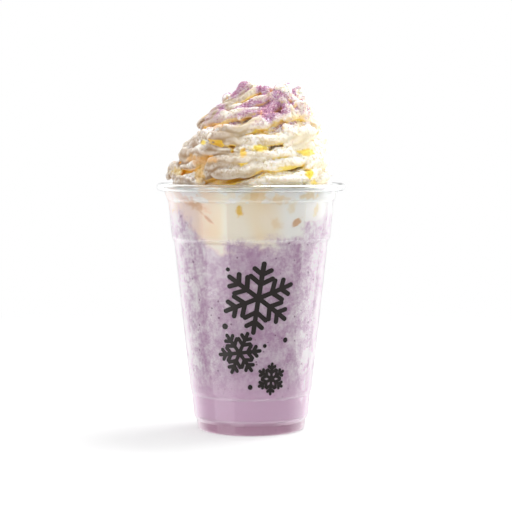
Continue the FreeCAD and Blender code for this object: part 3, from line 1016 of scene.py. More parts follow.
# Folds of cream that lie loose over the turns, each as (to the right, height over the rim, radius) in millimetres.
FOLDS = [
    [(-4, -1, 2.2), (5, 0.5, 2.8), (14, 2, 3.2), (24, 3.5, 3.2), (33, 5.5, 2.8)],
    [(-22, 4.5, 1.8), (-13, 5, 2.6), (-3, 6.5, 2.6), (6, 8.5, 2.4), (15, 10.5, 2.4), (24, 13, 2.6), (32, 15.5, 2.2)],
    [(-24, 7, 2.0), (-18, 9.5, 3.4), (-9, 11.5, 4.0), (0, 13, 3.4), (9, 14, 3.0), (18, 16.5, 2.6), (27, 20, 2.4)],
    [(-36, 13, 2.6), (-30, 15, 3.6), (-23, 16, 3.8), (-15, 16, 3.2), (-9, 17, 2.0)],
    [(-14, 18.5, 1.6), (-11, 21.5, 2.2), (-6, 21, 2.4), (2, 21, 2.6), (11, 21.5, 2.4), (19, 23, 2.4), (27, 24, 2.0)],
    [(-29, 21, 2.0), (-23, 22.5, 4.0), (-15, 23, 4.2), (-8, 24, 4.0), (0, 26.5, 3.4), (6, 27.5, 3.0), (13, 28, 2.4)],
    [(-27, 27, 2.6), (-24, 30.5, 3.4), (-19, 31.5, 3.6), (-14, 32, 3.4), (-10, 31, 2.4)],
    [(-37, 0, 2.4), (-33, 2, 3.2), (-27, 2, 3.2), (-23, 0, 2.6)],
    [(-41, 5, 1.6), (-36, 8.5, 2.2), (-30, 9.5, 2.2), (-25, 9, 1.8)],
    [(-42, 2, 1.4), (-37, 5, 1.8), (-33, 5.5, 1.6)],
    [(-18, 33, 2.2), (-13, 36, 3.2), (-8, 40, 3.4), (-3, 44, 2.8), (-2, 47, 1.4)],
    [(-10, 34, 1.6), (-4, 37, 2.2), (3, 40.5, 2.4), (8, 42.5, 2.0)],
    [(6, 43, 1.6), (9, 46.5, 1.7), (13, 45.5, 1.2)],
    [(11, 40, 3.0), (14, 42, 3.4), (18, 42.5, 3.2)],
    [(19, 45, 2.0), (22, 41, 2.6), (21, 35, 2.4)],
    [(20, 30, 3.2), (23, 32, 3.6), (27, 31.5, 3.2)],
    [(3, 29, 1.6), (10, 30, 2.0), (16, 31, 2.2), (19, 35, 2.0), (16, 39, 1.6)],
    [(-10, 17.0, 1.6), (-4, 17.5, 2.2), (3, 17.5, 2.2), (10, 18.0, 1.6)],
    [(16, 17, 2.6), (23, 20, 3.2), (30, 25, 2.6)],
    [(24, 8, 2.4), (30, 12, 3.0), (35, 17, 2.6)],
    [(-7, 31, 2.4), (-2, 33, 2.8), (4, 32, 2.6), (10, 33, 2.4)],
]


# Spots of painted golden glow in the hollows of the piped cream: to the right and height over the rim in millimetres,
# half width, half height, how amber it is, and how clearly it shows.
PAINTED_GLOWS = [
    (6.0, 34.8, 2.8, 1.9, 1.0, 1.0),
    (-2.0, 39.5, 1.2, 1.2, 0.4, 0.9),
    (-4.0, 15.0, 1.8, 2.6, 0.3, 0.9),
    (3.2, 17.3, 4.0, 1.6, 0.0, 0.9),
    (-23.3, 20.0, 1.4, 1.1, 0.0, 0.9),
    (28.7, 5.0, 2.0, 2.2, 0.0, 1.0),
    (26.5, 15.0, 3.8, 1.9, 0.0, 0.9),
    (30.6, 0.5, 2.0, 1.6, 0.0, 0.8),
    (23.5, 31.0, 3.6, 3.2, 0.1, 0.45),
    (-23.5, 12.0, 8.0, 2.2, 0.8, 0.5),
    (-24.5, 5.0, 2.6, 5.0, 0.5, 0.55),
    (-17.0, 28.5, 5.0, 1.4, 0.9, 0.5),
    (6.0, 25.0, 3.0, 1.2, 0.5, 0.5),
    (-36.0, 6.0, 4.0, 2.0, 0.2, 0.4),
    (18.0, 8.0, 7.0, 1.0, 0.0, 0.8),
]


def painted_glow_at(place):
    """How far a spot of painted golden glow shows at a place, and how amber it is. The back repeats the front, turned
    half round.
    """
    right = (place.x if place.y < 0 else -place.x) / MM
    above = (place.z - CUP_TOP) / MM
    ragged = noise.noise(place / (1.6 * MM)) * 0.5 + noise.noise(place / (4 * MM)) * 0.5
    shown, warmth = 0.0, 0.0
    for middle, height, half_width, half_height, amber, clear in PAINTED_GLOWS:
        off = math.hypot((right - middle) / half_width, (above - height) / half_height)
        here = clear * (1 - smoothstep(off + ragged, 0.3 + 0.4 * clear, 1.3))
        if here > shown:
            shown, warmth = here, amber
    return shown, warmth


def coil_at(swirl, turn):
    """Distance of the rope's centre from the axis at a turn."""
    wound = max(turn - 1, 0.0)
    return max(swirl.coil - swirl.shrink * wound - swirl.curve * wound**2, 0.0)


def lean_at(swirl, height):
    """Sideways place of the middle of the turns at a height over the rim."""
    return swirl.offset + swirl.drift * (height / swirl.dome) ** 2


def turn_at(swirl, height):
    """The turn that passes the front at a height over the rim."""
    rise = swirl.pitch_low * (swirl.pitch_change - swirl.front_turn)
    above = height - swirl.front_height
    if above < rise:
        return swirl.front_turn + above / swirl.pitch_low
    return swirl.pitch_change + (above - rise) / swirl.pitch_top


def fold_places(swirl, fold, facing):
    """Places and radii along a loose fold, at the front (facing -1) or, turned half round, at the back (facing 1)."""
    rows = np.array(fold) * MM
    per_row = 34
    marks = np.linspace(0, len(fold) - 1, per_row * (len(fold) - 1) + 1)
    bent = [np.interp(marks, range(len(fold)), rows[:, column]) for column in range(3)]
    window = np.hanning(per_row + 1)
    padded = [np.pad(values, per_row // 2, mode="edge") for values in bent]
    across, height, radius = (np.convolve(values, window / window.sum(), mode="valid") for values in padded)
    # The back's folds lie nearer together.
    if facing > 0:
        across = across * 0.6
    places = []
    for mark, (x, z, r) in enumerate(zip(across, height, radius)):
        # Both ends thin out and dive back into the cream.
        risen = smoothstep(min(mark, len(across) - 1 - mark) / len(across), 0.0, 0.16)
        r *= 0.4 + 0.6 * risen
        coil = coil_at(swirl, turn_at(swirl, z - swirl.tilt * x))
        reach = coil + swirl.radius_low + swirl.fold_out * (3 * risen - 2) - swirl.fold_sink * r
        aside = x - lean_at(swirl, z)
        depth = math.sqrt(max(reach**2 - aside**2, 0.0))
        places.append((Vector((-facing * x, facing * depth, CUP_TOP + z)), r))
    return places


def rope_place(swirl, turn):
    """Centre and radius of the rope of cream at a turn."""
    angle = FULL_TURN * turn
    steady = min(turn, swirl.pitch_change) - swirl.front_turn
    height = swirl.front_height + swirl.pitch_low * steady + swirl.pitch_top * max(turn - swirl.pitch_change, 0.0)
    distance = coil_at(swirl, turn) + lean_at(swirl, height) * math.cos(angle)
    along = (turn - swirl.start) / (swirl.end - swirl.start)
    radius = swirl.radius_low + (swirl.radius_top - swirl.radius_low) * along
    radius *= 1 - TIP_THINNING * smoothstep(turn, swirl.end - swirl.taper, swirl.end)
    rise = CUP_TOP + height + swirl.tilt * distance * math.cos(angle)
    return Vector(on_ring(distance, angle, rise)), radius


def scaled_noise(tree, place, width, detail=1.0, roughness=0.5):
    """Noise from -1 to 1 whose features are about as wide as given."""
    cells = add(tree, "ShaderNodeMath", {0: 1.0, 1: width}, operation="DIVIDE")
    cloud = add(tree, "ShaderNodeTexNoise", {"Vector": place, "Scale": cells, "Detail": detail, "Roughness": roughness})
    return add(tree, "ShaderNodeMath", {0: cloud, 1: 3.2, 2: -1.6}, operation="MULTIPLY_ADD")


def product(tree, *factors):
    """The product of three or more numbers, sockets or nodes."""
    result = factors[0]
    for factor in factors[1:]:
        result = add(tree, "ShaderNodeMath", {0: result, 1: factor}, operation="MULTIPLY")
    return result


def scattered(tree, surface, density, seeds, shape, least, most):
    """Copies of a shape on a surface, turned at random, with scales between two. Seeds are for spot, turn and scale."""
    spots = add(tree, "GeometryNodeDistributePointsOnFaces", {"Mesh": surface, "Density": density, "Seed": seeds[0]})
    full_turn = (FULL_TURN, FULL_TURN, FULL_TURN)
    turned = add(tree, "FunctionNodeRandomValue", {"Max": full_turn, "Seed": seeds[1]}, data_type="FLOAT_VECTOR")
    sized = add(
        tree, "FunctionNodeRandomValue", {"Min": least, "Max": most, "Seed": seeds[2]}, data_type="FLOAT_VECTOR"
    )
    copies = add(
        tree,
        "GeometryNodeInstanceOnPoints",
        {"Points": spots.outputs["Points"], "Instance": shape, "Rotation": turned, "Scale": sized},
    )
    return add(tree, "GeometryNodeRealizeInstances", {"Geometry": copies})


def loose_lumps(tree, size_of, rope, crest, rough):
    """Lumps of cream that cling to the rope's ridges."""
    here = add(tree, "GeometryNodeInputPosition")
    outward = add(tree, "GeometryNodeInputNormal").outputs["Normal"]
    ball = add(tree, "GeometryNodeMeshIcoSphere", {"Radius": size_of["Lump"], "Subdivisions": 3})
    bumpy = scaled_noise(tree, here, 1.6 * MM, 2.0)
    bumpy = add(tree, "ShaderNodeMath", {0: bumpy, 1: 0.5 * MM}, operation="MULTIPLY")
    lift = add(tree, "ShaderNodeVectorMath", {0: outward, "Scale": bumpy}, operation="SCALE")
    ball = add(tree, "GeometryNodeSetPosition", {"Geometry": ball.outputs["Mesh"], "Offset": lift})
    patches = add(
        tree, "ShaderNodeMapRange", {"Value": scaled_noise(tree, here, 14 * MM), "From Min": -0.2, "From Max": 0.5}
    )
    amount = product(tree, size_of["Lumps"], patches, crest, rough)
    return scattered(tree, rope, amount, (11, 11, 11), ball, (0.5, 0.15, 0.15), (2.2, 0.5, 0.4))


def broken_blocks(tree, size_of, rope):
    """Blocks into which the rope has broken at the upper right."""
    here = add(tree, "GeometryNodeInputPosition")
    outward = add(tree, "GeometryNodeInputNormal").outputs["Normal"]
    across = add(tree, "ShaderNodeSeparateXYZ", {"Vector": here})
    rightward = add(tree, "ShaderNodeMapRange", {"Value": across.outputs["X"], "From Min": 6 * MM, "From Max": 16 * MM})
    above = add(tree, "ShaderNodeMath", {0: across.outputs["Z"], 1: size_of["Rim height"]}, operation="SUBTRACT")
    above = add(tree, "ShaderNodeMapRange", {"Value": above, "From Min": 18 * MM, "From Max": 26 * MM})
    cube = add(
        tree, "GeometryNodeMeshCube", {"Size": (1, 0.8, 0.75), "Vertices X": 12, "Vertices Y": 10, "Vertices Z": 10}
    )
    size = add(tree, "ShaderNodeCombineXYZ", {axis: size_of["Block"] for axis in "XYZ"})
    cube = add(tree, "GeometryNodeTransform", {"Geometry": cube.outputs["Mesh"], "Scale": size})
    broken = scaled_noise(tree, here, 3.2 * MM, 3.0)
    broken = add(tree, "ShaderNodeMath", {0: broken, 1: 1.2 * MM}, operation="MULTIPLY")
    lift = add(tree, "ShaderNodeVectorMath", {0: outward, "Scale": broken}, operation="SCALE")
    cube = add(tree, "GeometryNodeSetPosition", {"Geometry": cube, "Offset": lift})
    amount = product(tree, size_of["Blocks"], rightward, above)
    return scattered(tree, rope, amount, (4, 4, 4), cube, (0.7, 0.7, 0.7), (1.2, 1.2, 1.2))


def core_of(tree, size_of):
    """The core that fills the middle of the turns."""
    core = add(tree, "GeometryNodeMeshUVSphere", {"Segments": 64, "Rings": 32, "Radius": 1.0})
    return add(
        tree,
        "GeometryNodeTransform",
        {
            "Geometry": core.outputs["Mesh"],
            "Translation": add(tree, "ShaderNodeCombineXYZ", {"Z": size_of["Rim height"]}),
            "Scale": add(
                tree,
                "ShaderNodeCombineXYZ",
                {"X": size_of["Core width"], "Y": size_of["Core width"], "Z": size_of["Core height"]},
            ),
        },
    )


def rope_tree(swirl):
    """Geometry tree: a star section follows the rope's line, sways and tears, and lumps and a core join it."""
    tree, group_in, group_out = new_geometry_tree(
        "Piped rope",
        {
            "Flutes": ("NodeSocketInt", swirl.flutes),
            "Flute depth": ("NodeSocketFloat", swirl.flute_depth),
            "Sway": ("NodeSocketFloat", swirl.sway),
            "Tear": ("NodeSocketFloat", swirl.tear),
            "Tear spacing": ("NodeSocketFloat", swirl.tear_spacing),
            "Lump": ("NodeSocketFloat", swirl.lump),
            "Lumps": ("NodeSocketFloat", float(swirl.lumps)),
            "Block": ("NodeSocketFloat", swirl.block),
            "Blocks": ("NodeSocketFloat", float(swirl.blocks)),
            "Core width": ("NodeSocketFloat", swirl.core_width),
            "Core height": ("NodeSocketFloat", swirl.core_height),
            "Rim height": ("NodeSocketFloat", CUP_TOP),
        },
    )
    size_of = group_in.outputs
    rope = add(tree, "GeometryNodeMeshToCurve", {"Mesh": size_of["Geometry"]})
    rope = add(tree, "GeometryNodeSetCurveNormal", {"Curve": rope}, mode="Z_UP")
    twist = add(tree, "GeometryNodeInputNamedAttribute", {"Name": "twist"})
    rope = add(tree, "GeometryNodeSetCurveTilt", {"Curve": rope, "Tilt": twist})
    along = add(tree, "GeometryNodeSplineParameter").outputs["Length"]
    rope = add(tree, "GeometryNodeStoreNamedAttribute", {"Geometry": rope, "Name": "along", "Value": along})
    # The star section: a round one with a number for each point that is 1 on a ridge and 0 in a valley.
    circle = add(tree, "GeometryNodeCurvePrimitiveCircle", {"Resolution": 98, "Radius": 1.0})
    flat = add(tree, "ShaderNodeSeparateXYZ", {"Vector": add(tree, "GeometryNodeInputPosition")})
    angle = add(tree, "ShaderNodeMath", {0: flat.outputs["Y"], 1: flat.outputs["X"]}, operation="ARCTAN2")
    half_angle = product(tree, angle, size_of["Flutes"], 0.5)
    crest = add(tree, "ShaderNodeMath", {0: half_angle}, operation="COSINE")
    crest = add(tree, "ShaderNodeMath", {0: crest}, operation="ABSOLUTE")
    section = add(
        tree, "GeometryNodeStoreNamedAttribute", {"Geometry": circle.outputs["Curve"], "Name": "crest", "Value": crest}
    )
    section = add(tree, "GeometryNodeStoreNamedAttribute", {"Geometry": section, "Name": "facing", "Value": angle})
    thickness = add(tree, "GeometryNodeInputNamedAttribute", {"Name": "thickness"})
    tube = add(
        tree,
        "GeometryNodeCurveToMesh",
        {"Curve": rope, "Profile Curve": section, "Scale": thickness, "Fill Caps": True},
    )
    outward = add(tree, "GeometryNodeInputNormal").outputs["Normal"]
    here = add(tree, "GeometryNodeInputPosition")
    crest = add(tree, "GeometryNodeInputNamedAttribute", {"Name": "crest"})
    facing = add(tree, "GeometryNodeInputNamedAttribute", {"Name": "facing"})
    along = add(tree, "GeometryNodeInputNamedAttribute", {"Name": "along"})
    thick = add(tree, "ShaderNodeMath", {0: thickness, 1: swirl.radius_top}, operation="DIVIDE", use_clamp=True)
    # Valleys between the ridges. Each ridge swells and fades on its own along the rope.
    strand_place = add(
        tree,
        "ShaderNodeCombineXYZ",
        {
            "X": add(tree, "ShaderNodeMath", {0: along, 1: 1 / (15 * MM)}, operation="MULTIPLY"),
            "Y": add(tree, "ShaderNodeMath", {0: facing, 1: 1.1}, operation="MULTIPLY"),
        },
    )
    strand = scaled_noise(tree, strand_place, 1.0, 1.0)
    uneven = add(tree, "ShaderNodeMath", {0: strand, 1: 0.7, 2: 1.0}, operation="MULTIPLY_ADD")
    valley = add(tree, "ShaderNodeMath", {0: crest, 1: 0.75}, operation="SUBTRACT")
    valley = product(tree, valley, size_of["Flute depth"], uneven, thick, thick)
    # Torn spots run across each ridge, most on rough stretches: teeth on the crests and cracks between them.
    torn_place = add(
        tree,
        "ShaderNodeCombineXYZ",
        {
            "X": add(tree, "ShaderNodeMath", {0: along, 1: size_of["Tear spacing"]}, operation="DIVIDE"),
            "Y": add(tree, "ShaderNodeMath", {0: facing, 1: 3.4}, operation="MULTIPLY"),
        },
    )
    torn = scaled_noise(tree, torn_place, 1.0, 4.0, 0.72)
    rough = add(
        tree, "ShaderNodeMapRange", {"Value": scaled_noise(tree, here, 20 * MM), "From Min": -0.35, "From Max": 0.35}
    )
    upward = add(tree, "ShaderNodeSeparateXYZ", {"Vector": outward})
    upward = add(tree, "ShaderNodeMapRange", {"Value": upward.outputs["Z"], "From Min": -0.35, "From Max": 0.5})
    rough = add(tree, "ShaderNodeMath", {0: rough, 1: upward}, operation="MULTIPLY")
    rough = add(tree, "ShaderNodeMath", {0: rough, 1: 0.95, 2: 0.05}, operation="MULTIPLY_ADD")
    torn = product(tree, torn, rough, add(tree, "ShaderNodeMath", {0: crest, 1: 0.8, 2: 0.2}, operation="MULTIPLY_ADD"))
    torn = product(tree, torn, size_of["Tear"], 0.6, thick)
    lift = add(tree, "ShaderNodeMath", {0: valley, 1: torn}, operation="ADD")
    bulge = product(tree, scaled_noise(tree, here, 11 * MM, 1.0), 1.1 * MM, thick)
    lift = add(tree, "ShaderNodeMath", {0: lift, 1: bulge}, operation="ADD")
    lifted = add(tree, "ShaderNodeVectorMath", {0: outward, "Scale": lift}, operation="SCALE")
    sway = add(
        tree, "ShaderNodeTexNoise", {"Vector": here, "Scale": 1 / (24 * MM), "Detail": 2.0, "Roughness": 0.6}
    ).outputs["Color"]
    sway = add(tree, "ShaderNodeVectorMath", {0: sway, 1: (0.5, 0.5, 0.5)}, operation="SUBTRACT")
    far = add(tree, "ShaderNodeMath", {0: size_of["Sway"], 1: 4.0}, operation="MULTIPLY")
    sway = add(tree, "ShaderNodeVectorMath", {0: sway, "Scale": far}, operation="SCALE")
    moved = add(tree, "ShaderNodeVectorMath", {0: lifted, 1: sway}, operation="ADD")
    tube = add(tree, "GeometryNodeSetPosition", {"Geometry": tube, "Offset": moved})
    parts = [
        tube, loose_lumps(tree, size_of, tube, crest, rough), broken_blocks(tree, size_of, tube), core_of(tree, size_of)
    ]
    joined = tree.nodes.new("GeometryNodeJoinGeometry")
    for part in parts:
        tree.links.new(part.outputs[0], joined.inputs[0])
    whole = add(tree, "GeometryNodeRealizeInstances", {"Geometry": joined})
    tree.links.new(whole.outputs[0], group_out.inputs[0])
    return tree


def foam_tree(swirl):
    """Geometry tree: fine foam grain over the whole surface, and how much each point lies in a fold or on a crest,
    which masks the cream's painted shade, glow and highlight.
    """
    tree, group_in, group_out = new_geometry_tree(
        "Foam",
        {
            "Grain depth": ("NodeSocketFloat", swirl.foam),
            "Grain width": ("NodeSocketFloat", swirl.foam_grain),
            "Fold": ("NodeSocketFloat", swirl.fold),
            "Material": ("NodeSocketMaterial", None),
        },
    )
    here = add(tree, "GeometryNodeInputPosition")
    outward = add(tree, "GeometryNodeInputNormal").outputs["Normal"]
    # Thin crests with hollows between them, as torn bubbles leave.
    web = scaled_noise(tree, here, group_in.outputs["Grain width"], 2.0, 0.6)
    web = add(tree, "ShaderNodeMath", {0: web}, operation="ABSOLUTE")
    web = add(tree, "ShaderNodeMath", {0: web, 1: -2.4, 2: 0.9}, operation="MULTIPLY_ADD")
    web = add(tree, "ShaderNodeMath", {0: web, 1: -0.8}, operation="MAXIMUM")
    grain = add(tree, "ShaderNodeMath", {0: web, 1: group_in.outputs["Grain depth"]}, operation="MULTIPLY")
    # The right side is torn more than the left.
    sideways = add(tree, "ShaderNodeSeparateXYZ", {"Vector": here})
    sideways = add(
        tree,
        "ShaderNodeMapRange",
        {
            "Value": sideways.outputs["X"],
            "From Min": -20 * MM,
            "From Max": 20 * MM,
            "To Min": swirl.torn_left,
            "To Max": swirl.torn_right,
        },
    )
    patches = add(tree, "ShaderNodeMath", {0: scaled_noise(tree, here, 15 * MM), 1: sideways}, operation="ADD")
    patches = add(tree, "ShaderNodeMapRange", {"Value": patches, "From Min": -0.4, "From Max": 0.4})
    upward = add(tree, "ShaderNodeSeparateXYZ", {"Vector": outward})
    upward = add(
        tree, "ShaderNodeMapRange", {"Value": upward.outputs["Z"], "From Min": -0.4, "From Max": 0.4, "To Min": 0.25}
    )
    # Torn spots that face up mask the painted whitening of the froth.
    froth = add(tree, "ShaderNodeMath", {0: patches, 1: upward}, operation="MULTIPLY")
    patches = add(tree, "ShaderNodeMath", {0: patches, 1: 0.92, 2: 0.08}, operation="MULTIPLY_ADD")
    grain = product(tree, grain, patches, upward)
    lift = add(tree, "ShaderNodeVectorMath", {0: outward, "Scale": grain}, operation="SCALE")
    foam = add(tree, "GeometryNodeSetPosition", {"Geometry": group_in.outputs["Geometry"], "Offset": lift})
    # Rays spread over the half space around each normal: the share that strikes cream again is the fold's depth, which
    # masks the painted shade and glow in the cream's material.
    start = add(tree, "ShaderNodeVectorMath", {0: outward, "Scale": 0.5 * MM}, operation="SCALE")
    start = add(tree, "ShaderNodeVectorMath", {0: here, 1: start}, operation="ADD")
    rays = 14
    struck = None
    for ray in range(rays):
        level = 1 - 2 * (ray + 0.5) / rays
        bearing = ray * math.pi * (3 - math.sqrt(5))
        reach = math.sqrt(1 - level * level)
        spread = (reach * math.cos(bearing), reach * math.sin(bearing), level)
        aim = add(tree, "ShaderNodeVectorMath", {0: outward, 1: spread}, operation="ADD")
        hit = add(
            tree,
            "GeometryNodeRaycast",
            {
                "Target Geometry": foam,
                "Source Position": start,
                "Ray Direction": aim,
                "Ray Length": group_in.outputs["Fold"],
            },
        ).outputs["Is Hit"]
        struck = hit if struck is None else add(tree, "ShaderNodeMath", {0: struck, 1: hit}, operation="ADD")
    share_struck = add(tree, "ShaderNodeMath", {0: struck, 1: 1 / rays}, operation="MULTIPLY")
    share_struck = add(
        tree, "GeometryNodeBlurAttribute", {"Value": share_struck, "Iterations": 2, "Weight": 1.0}, data_type="FLOAT"
    )
    # How far each point stands out from its surroundings, which masks the painted highlight on the crests.
    smoothed = add(
        tree, "GeometryNodeBlurAttribute", {"Value": here, "Iterations": 9, "Weight": 1.0}, data_type="FLOAT_VECTOR"
    )
    away = add(tree, "ShaderNodeVectorMath", {0: here, 1: smoothed}, operation="SUBTRACT")
    raised = add(tree, "ShaderNodeVectorMath", {0: away, 1: outward}, operation="DOT_PRODUCT").outputs["Value"]
    raised = add(tree, "ShaderNodeMath", {0: raised, 1: 0.5 * MM}, operation="DIVIDE", use_clamp=True)
    foam = add(tree, "GeometryNodeStoreNamedAttribute", {"Geometry": foam, "Name": "fold", "Value": share_struck})
    foam = add(tree, "GeometryNodeStoreNamedAttribute", {"Geometry": foam, "Name": "raised", "Value": raised})
    foam = add(tree, "GeometryNodeStoreNamedAttribute", {"Geometry": foam, "Name": "froth", "Value": froth})
    smooth = add(tree, "GeometryNodeSetShadeSmooth", {"Geometry": foam})
    whole = add(tree, "GeometryNodeRealizeInstances", {"Geometry": smooth})
    dressed = add(tree, "GeometryNodeSetMaterial", {"Geometry": whole, "Material": group_in.outputs["Material"]})
    tree.links.new(dressed.outputs[0], group_out.inputs[0])
    return tree


def dust_amount(powder, place, up):
    """How thickly powder lies at a place whose surface faces up by that much."""
    across = math.hypot(place.x - powder.middle_x, place.y - powder.middle_y) / powder.reach
    height = smoothstep(place.z - CUP_TOP, powder.lowest, powder.thickest)
    patch = noise.noise(place / (6 * MM) + Vector((5.2, 0.4, 2.9)))
    thick = (1 - smoothstep(across, 0.5, 1.1)) * (0.15 + 0.85 * height) * height**0.5
    sprinkled = thick * smoothstep(up, -0.4 - 0.7 * height, 0.5) * smoothstep(patch, -0.36, 0.3)
    from_heap = math.hypot(place.x - powder.heap_x, place.z - CUP_TOP - powder.heap_rise) / powder.heap_reach
    heaped = (1 - smoothstep(from_heap + 0.5 * patch, 0.3, 1.0)) * smoothstep(up, -0.8, 0.1)
    return max(sprinkled, heaped)


class FRAPPE_OT_swirl(bpy.types.Operator):
    """Pipes the rope of whipped cream up to its tip"""

    bl_idname = "frappe.swirl"
    bl_label = "Piped Cream"

    def execute(self, context):
        scene = context.scene
        swirl, powder = scene.frappe_swirl, scene.frappe_powder
        per_turn = 380
        count = round((swirl.end - swirl.start) * per_turn)
        turns = [swirl.start + (swirl.end - swirl.start) * k / count for k in range(count + 1)]
        places = [rope_place(swirl, turn) for turn in turns]
        twist = [FULL_TURN * swirl.flute_twist * turn for turn in turns]
        fold_twist = 0.02
        edges = [(k, k + 1) for k in range(count)]
        for facing in (-1, 1):
            for fold in FOLDS:
                strand = fold_places(swirl, fold, facing)
                edges += [(len(places) + k, len(places) + k + 1) for k in range(len(strand) - 1)]
                places += strand
                twist += [fold_twist * k for k in range(len(strand))]
        line = mesh_from("whipped_swirl", [p for p, r in places], [], edges)
        store(line, "thickness", [r for p, r in places])
        store(line, "twist", twist)
        piece = new_piece("whipped_swirl", line)
        cream = whipped_cream(scene.frappe_finish)
        use_tree(piece, rope_tree(swirl), {})
        remesh = piece.modifiers.new("Skin", "REMESH")
        remesh.mode = "VOXEL"
        remesh.voxel_size = swirl.voxel
        remesh.use_smooth_shade = True
        use_tree(piece, foam_tree(swirl), {"Material": cream})
        thinned = piece.modifiers.new("Thinned", "DECIMATE")
        thinned.ratio = swirl.kept
        piece = plain_mesh(piece, "whipped_swirl")
        mesh = piece.data
        # Cream in the mouth of the cup goes no further than just into its wall.
        levels, into_wall = inside_levels(scene.frappe_cup), 0.2 * MM
        for vertex in mesh.vertices:
            free = inside_radius(levels, vertex.co.z) + into_wall
            if vertex.co.z < CUP_TOP - scene.frappe_cup.curl and vertex.co.xy.length > free:
                vertex.co.xy = vertex.co.xy.normalized() * free
        # Spots of painted golden glow, and how amber they are.
        hollows = [painted_glow_at(vertex.co) for vertex in mesh.vertices]
        store(mesh, "dust", [dust_amount(powder, v.co, v.normal.z) for v in mesh.vertices])
        store(mesh, "hollow", [shown for shown, amber in hollows])
        store(mesh, "amber", [amber for shown, amber in hollows])
        ride_as(piece, "whipped_cream", "whipped_cream")
        return {"FINISHED"}


def scatter_tree(powder):
    """Geometry tree: grains of powder on a surface, thickest where its dust is thickest."""
    tree, group_in, group_out = new_geometry_tree(
        "Powder",
        {
            "Grains": ("NodeSocketFloat", float(powder.grains)),
            "Grain": ("NodeSocketFloat", powder.grain),
            "Seed": ("NodeSocketInt", powder.seed),
            "Material": ("NodeSocketMaterial", None),
        },
    )
    dust = add(tree, "GeometryNodeInputNamedAttribute", {"Name": "dust"})
    thick = add(tree, "ShaderNodeMath", {0: dust, 1: 1.5}, operation="POWER")
    amount = add(tree, "ShaderNodeMath", {0: thick, 1: group_in.outputs["Grains"]}, operation="MULTIPLY")
    grain = add(tree, "GeometryNodeMeshIcoSphere", {"Radius": group_in.outputs["Grain"], "Subdivisions": 1})
    surface, seeds = group_in.outputs["Geometry"], (group_in.outputs["Seed"], 3, 5)
    whole = scattered(tree, surface, amount, seeds, grain.outputs["Mesh"], (0.6, 0.6, 0.5), (1.9, 1.7, 1.2))
    dressed = add(tree, "GeometryNodeSetMaterial", {"Geometry": whole, "Material": group_in.outputs["Material"]})
    tree.links.new(dressed.outputs[0], group_out.inputs[0])
    return tree


class FRAPPE_OT_powder(bpy.types.Operator):
    """Sprinkles taro powder over the cream"""

    bl_idname = "frappe.powder"
    bl_label = "Taro Powder"

    def execute(self, context):
        scene = context.scene
        piece = new_piece("taro_powder", bpy.data.objects["whipped_swirl"].data.copy())
        use_tree(piece, scatter_tree(scene.frappe_powder), {"Material": taro_powder(scene.frappe_finish)})
        piece = plain_mesh(piece, "taro_powder")
        ride_as(piece, "taro_drink")
        return {"FINISHED"}


def one_flake(tree, size_of):
    """A flake of reach 1, as curves: arms with two pairs of twigs each, turned round the middle."""
    arm = tree.nodes.new("GeometryNodeJoinGeometry")
    lines = [((0, 0, 0), (0, 0, 1))]
    for foot, reach in ((0.40, 0.36), (0.68, 0.27)):
        for side in (-1, 1):
            lines.append(((0, 0, foot), (side * reach * 0.82, 0, foot + reach * 0.57)))
    for start, end in lines:
        stroke = add(tree, "GeometryNodeCurvePrimitiveLine", {"Start": start, "End": end})
        tree.links.new(stroke.outputs[0], arm.inputs[0])
    # One point for each arm, all in the middle, each turned on by an equal share of a circle.
    spokes = add(tree, "GeometryNodePoints", {"Count": size_of["Arms"]})
    share_of_turn = add(tree, "ShaderNodeMath", {0: FULL_TURN, 1: size_of["Arms"]}, operation="DIVIDE")
    spoke = add(tree, "GeometryNodeInputIndex")
    spoke_turn = add(tree, "ShaderNodeMath", {0: spoke, 1: share_of_turn}, operation="MULTIPLY")
    turned = add(tree, "ShaderNodeCombineXYZ", {"Y": spoke_turn})
    flake = add(tree, "GeometryNodeInstanceOnPoints", {"Points": spokes, "Instance": arm, "Rotation": turned})
    return add(tree, "GeometryNodeRealizeInstances", {"Geometry": flake})


def bent_round(tree, size_of, flat):
    """The flat print, thinned to the thickness of ink and bent round the cup's wall."""
    here = add(tree, "ShaderNodeSeparateXYZ", {"Vector": add(tree, "GeometryNodeInputPosition")}).outputs
    thinned = product(tree, here["Y"], size_of["Ink"], 0.5 / MM)
    above_foot = add(tree, "ShaderNodeMath", {0: here["Z"], 1: size_of["Foot height"]}, operation="SUBTRACT")
    wall = add(
        tree,
        "ShaderNodeMath",
        {0: above_foot, 1: size_of["Slope"], 2: size_of["Foot radius"]},
        operation="MULTIPLY_ADD",
    )
    out = add(tree, "ShaderNodeMath", {0: wall, 1: thinned}, operation="SUBTRACT")
    clear_of_wall = add(tree, "ShaderNodeMath", {0: size_of["Ink"], 1: 0.6}, operation="MULTIPLY")
    out = add(tree, "ShaderNodeMath", {0: out, 1: clear_of_wall}, operation="ADD")
    bearing = add(tree, "ShaderNodeMath", {0: here["X"], 1: size_of["Middle radius"]}, operation="DIVIDE")
    sideways = add(tree, "ShaderNodeMath", {0: bearing}, operation="SINE")
    sideways = add(tree, "ShaderNodeMath", {0: out, 1: sideways}, operation="MULTIPLY")
    forwards = add(tree, "ShaderNodeMath", {0: bearing}, operation="COSINE")
    forwards = product(tree, out, forwards, -1.0)
    bent = add(tree, "ShaderNodeCombineXYZ", {"X": sideways, "Y": forwards, "Z": here["Z"]})
    return add(tree, "GeometryNodeSetPosition", {"Geometry": flat, "Position": bent})


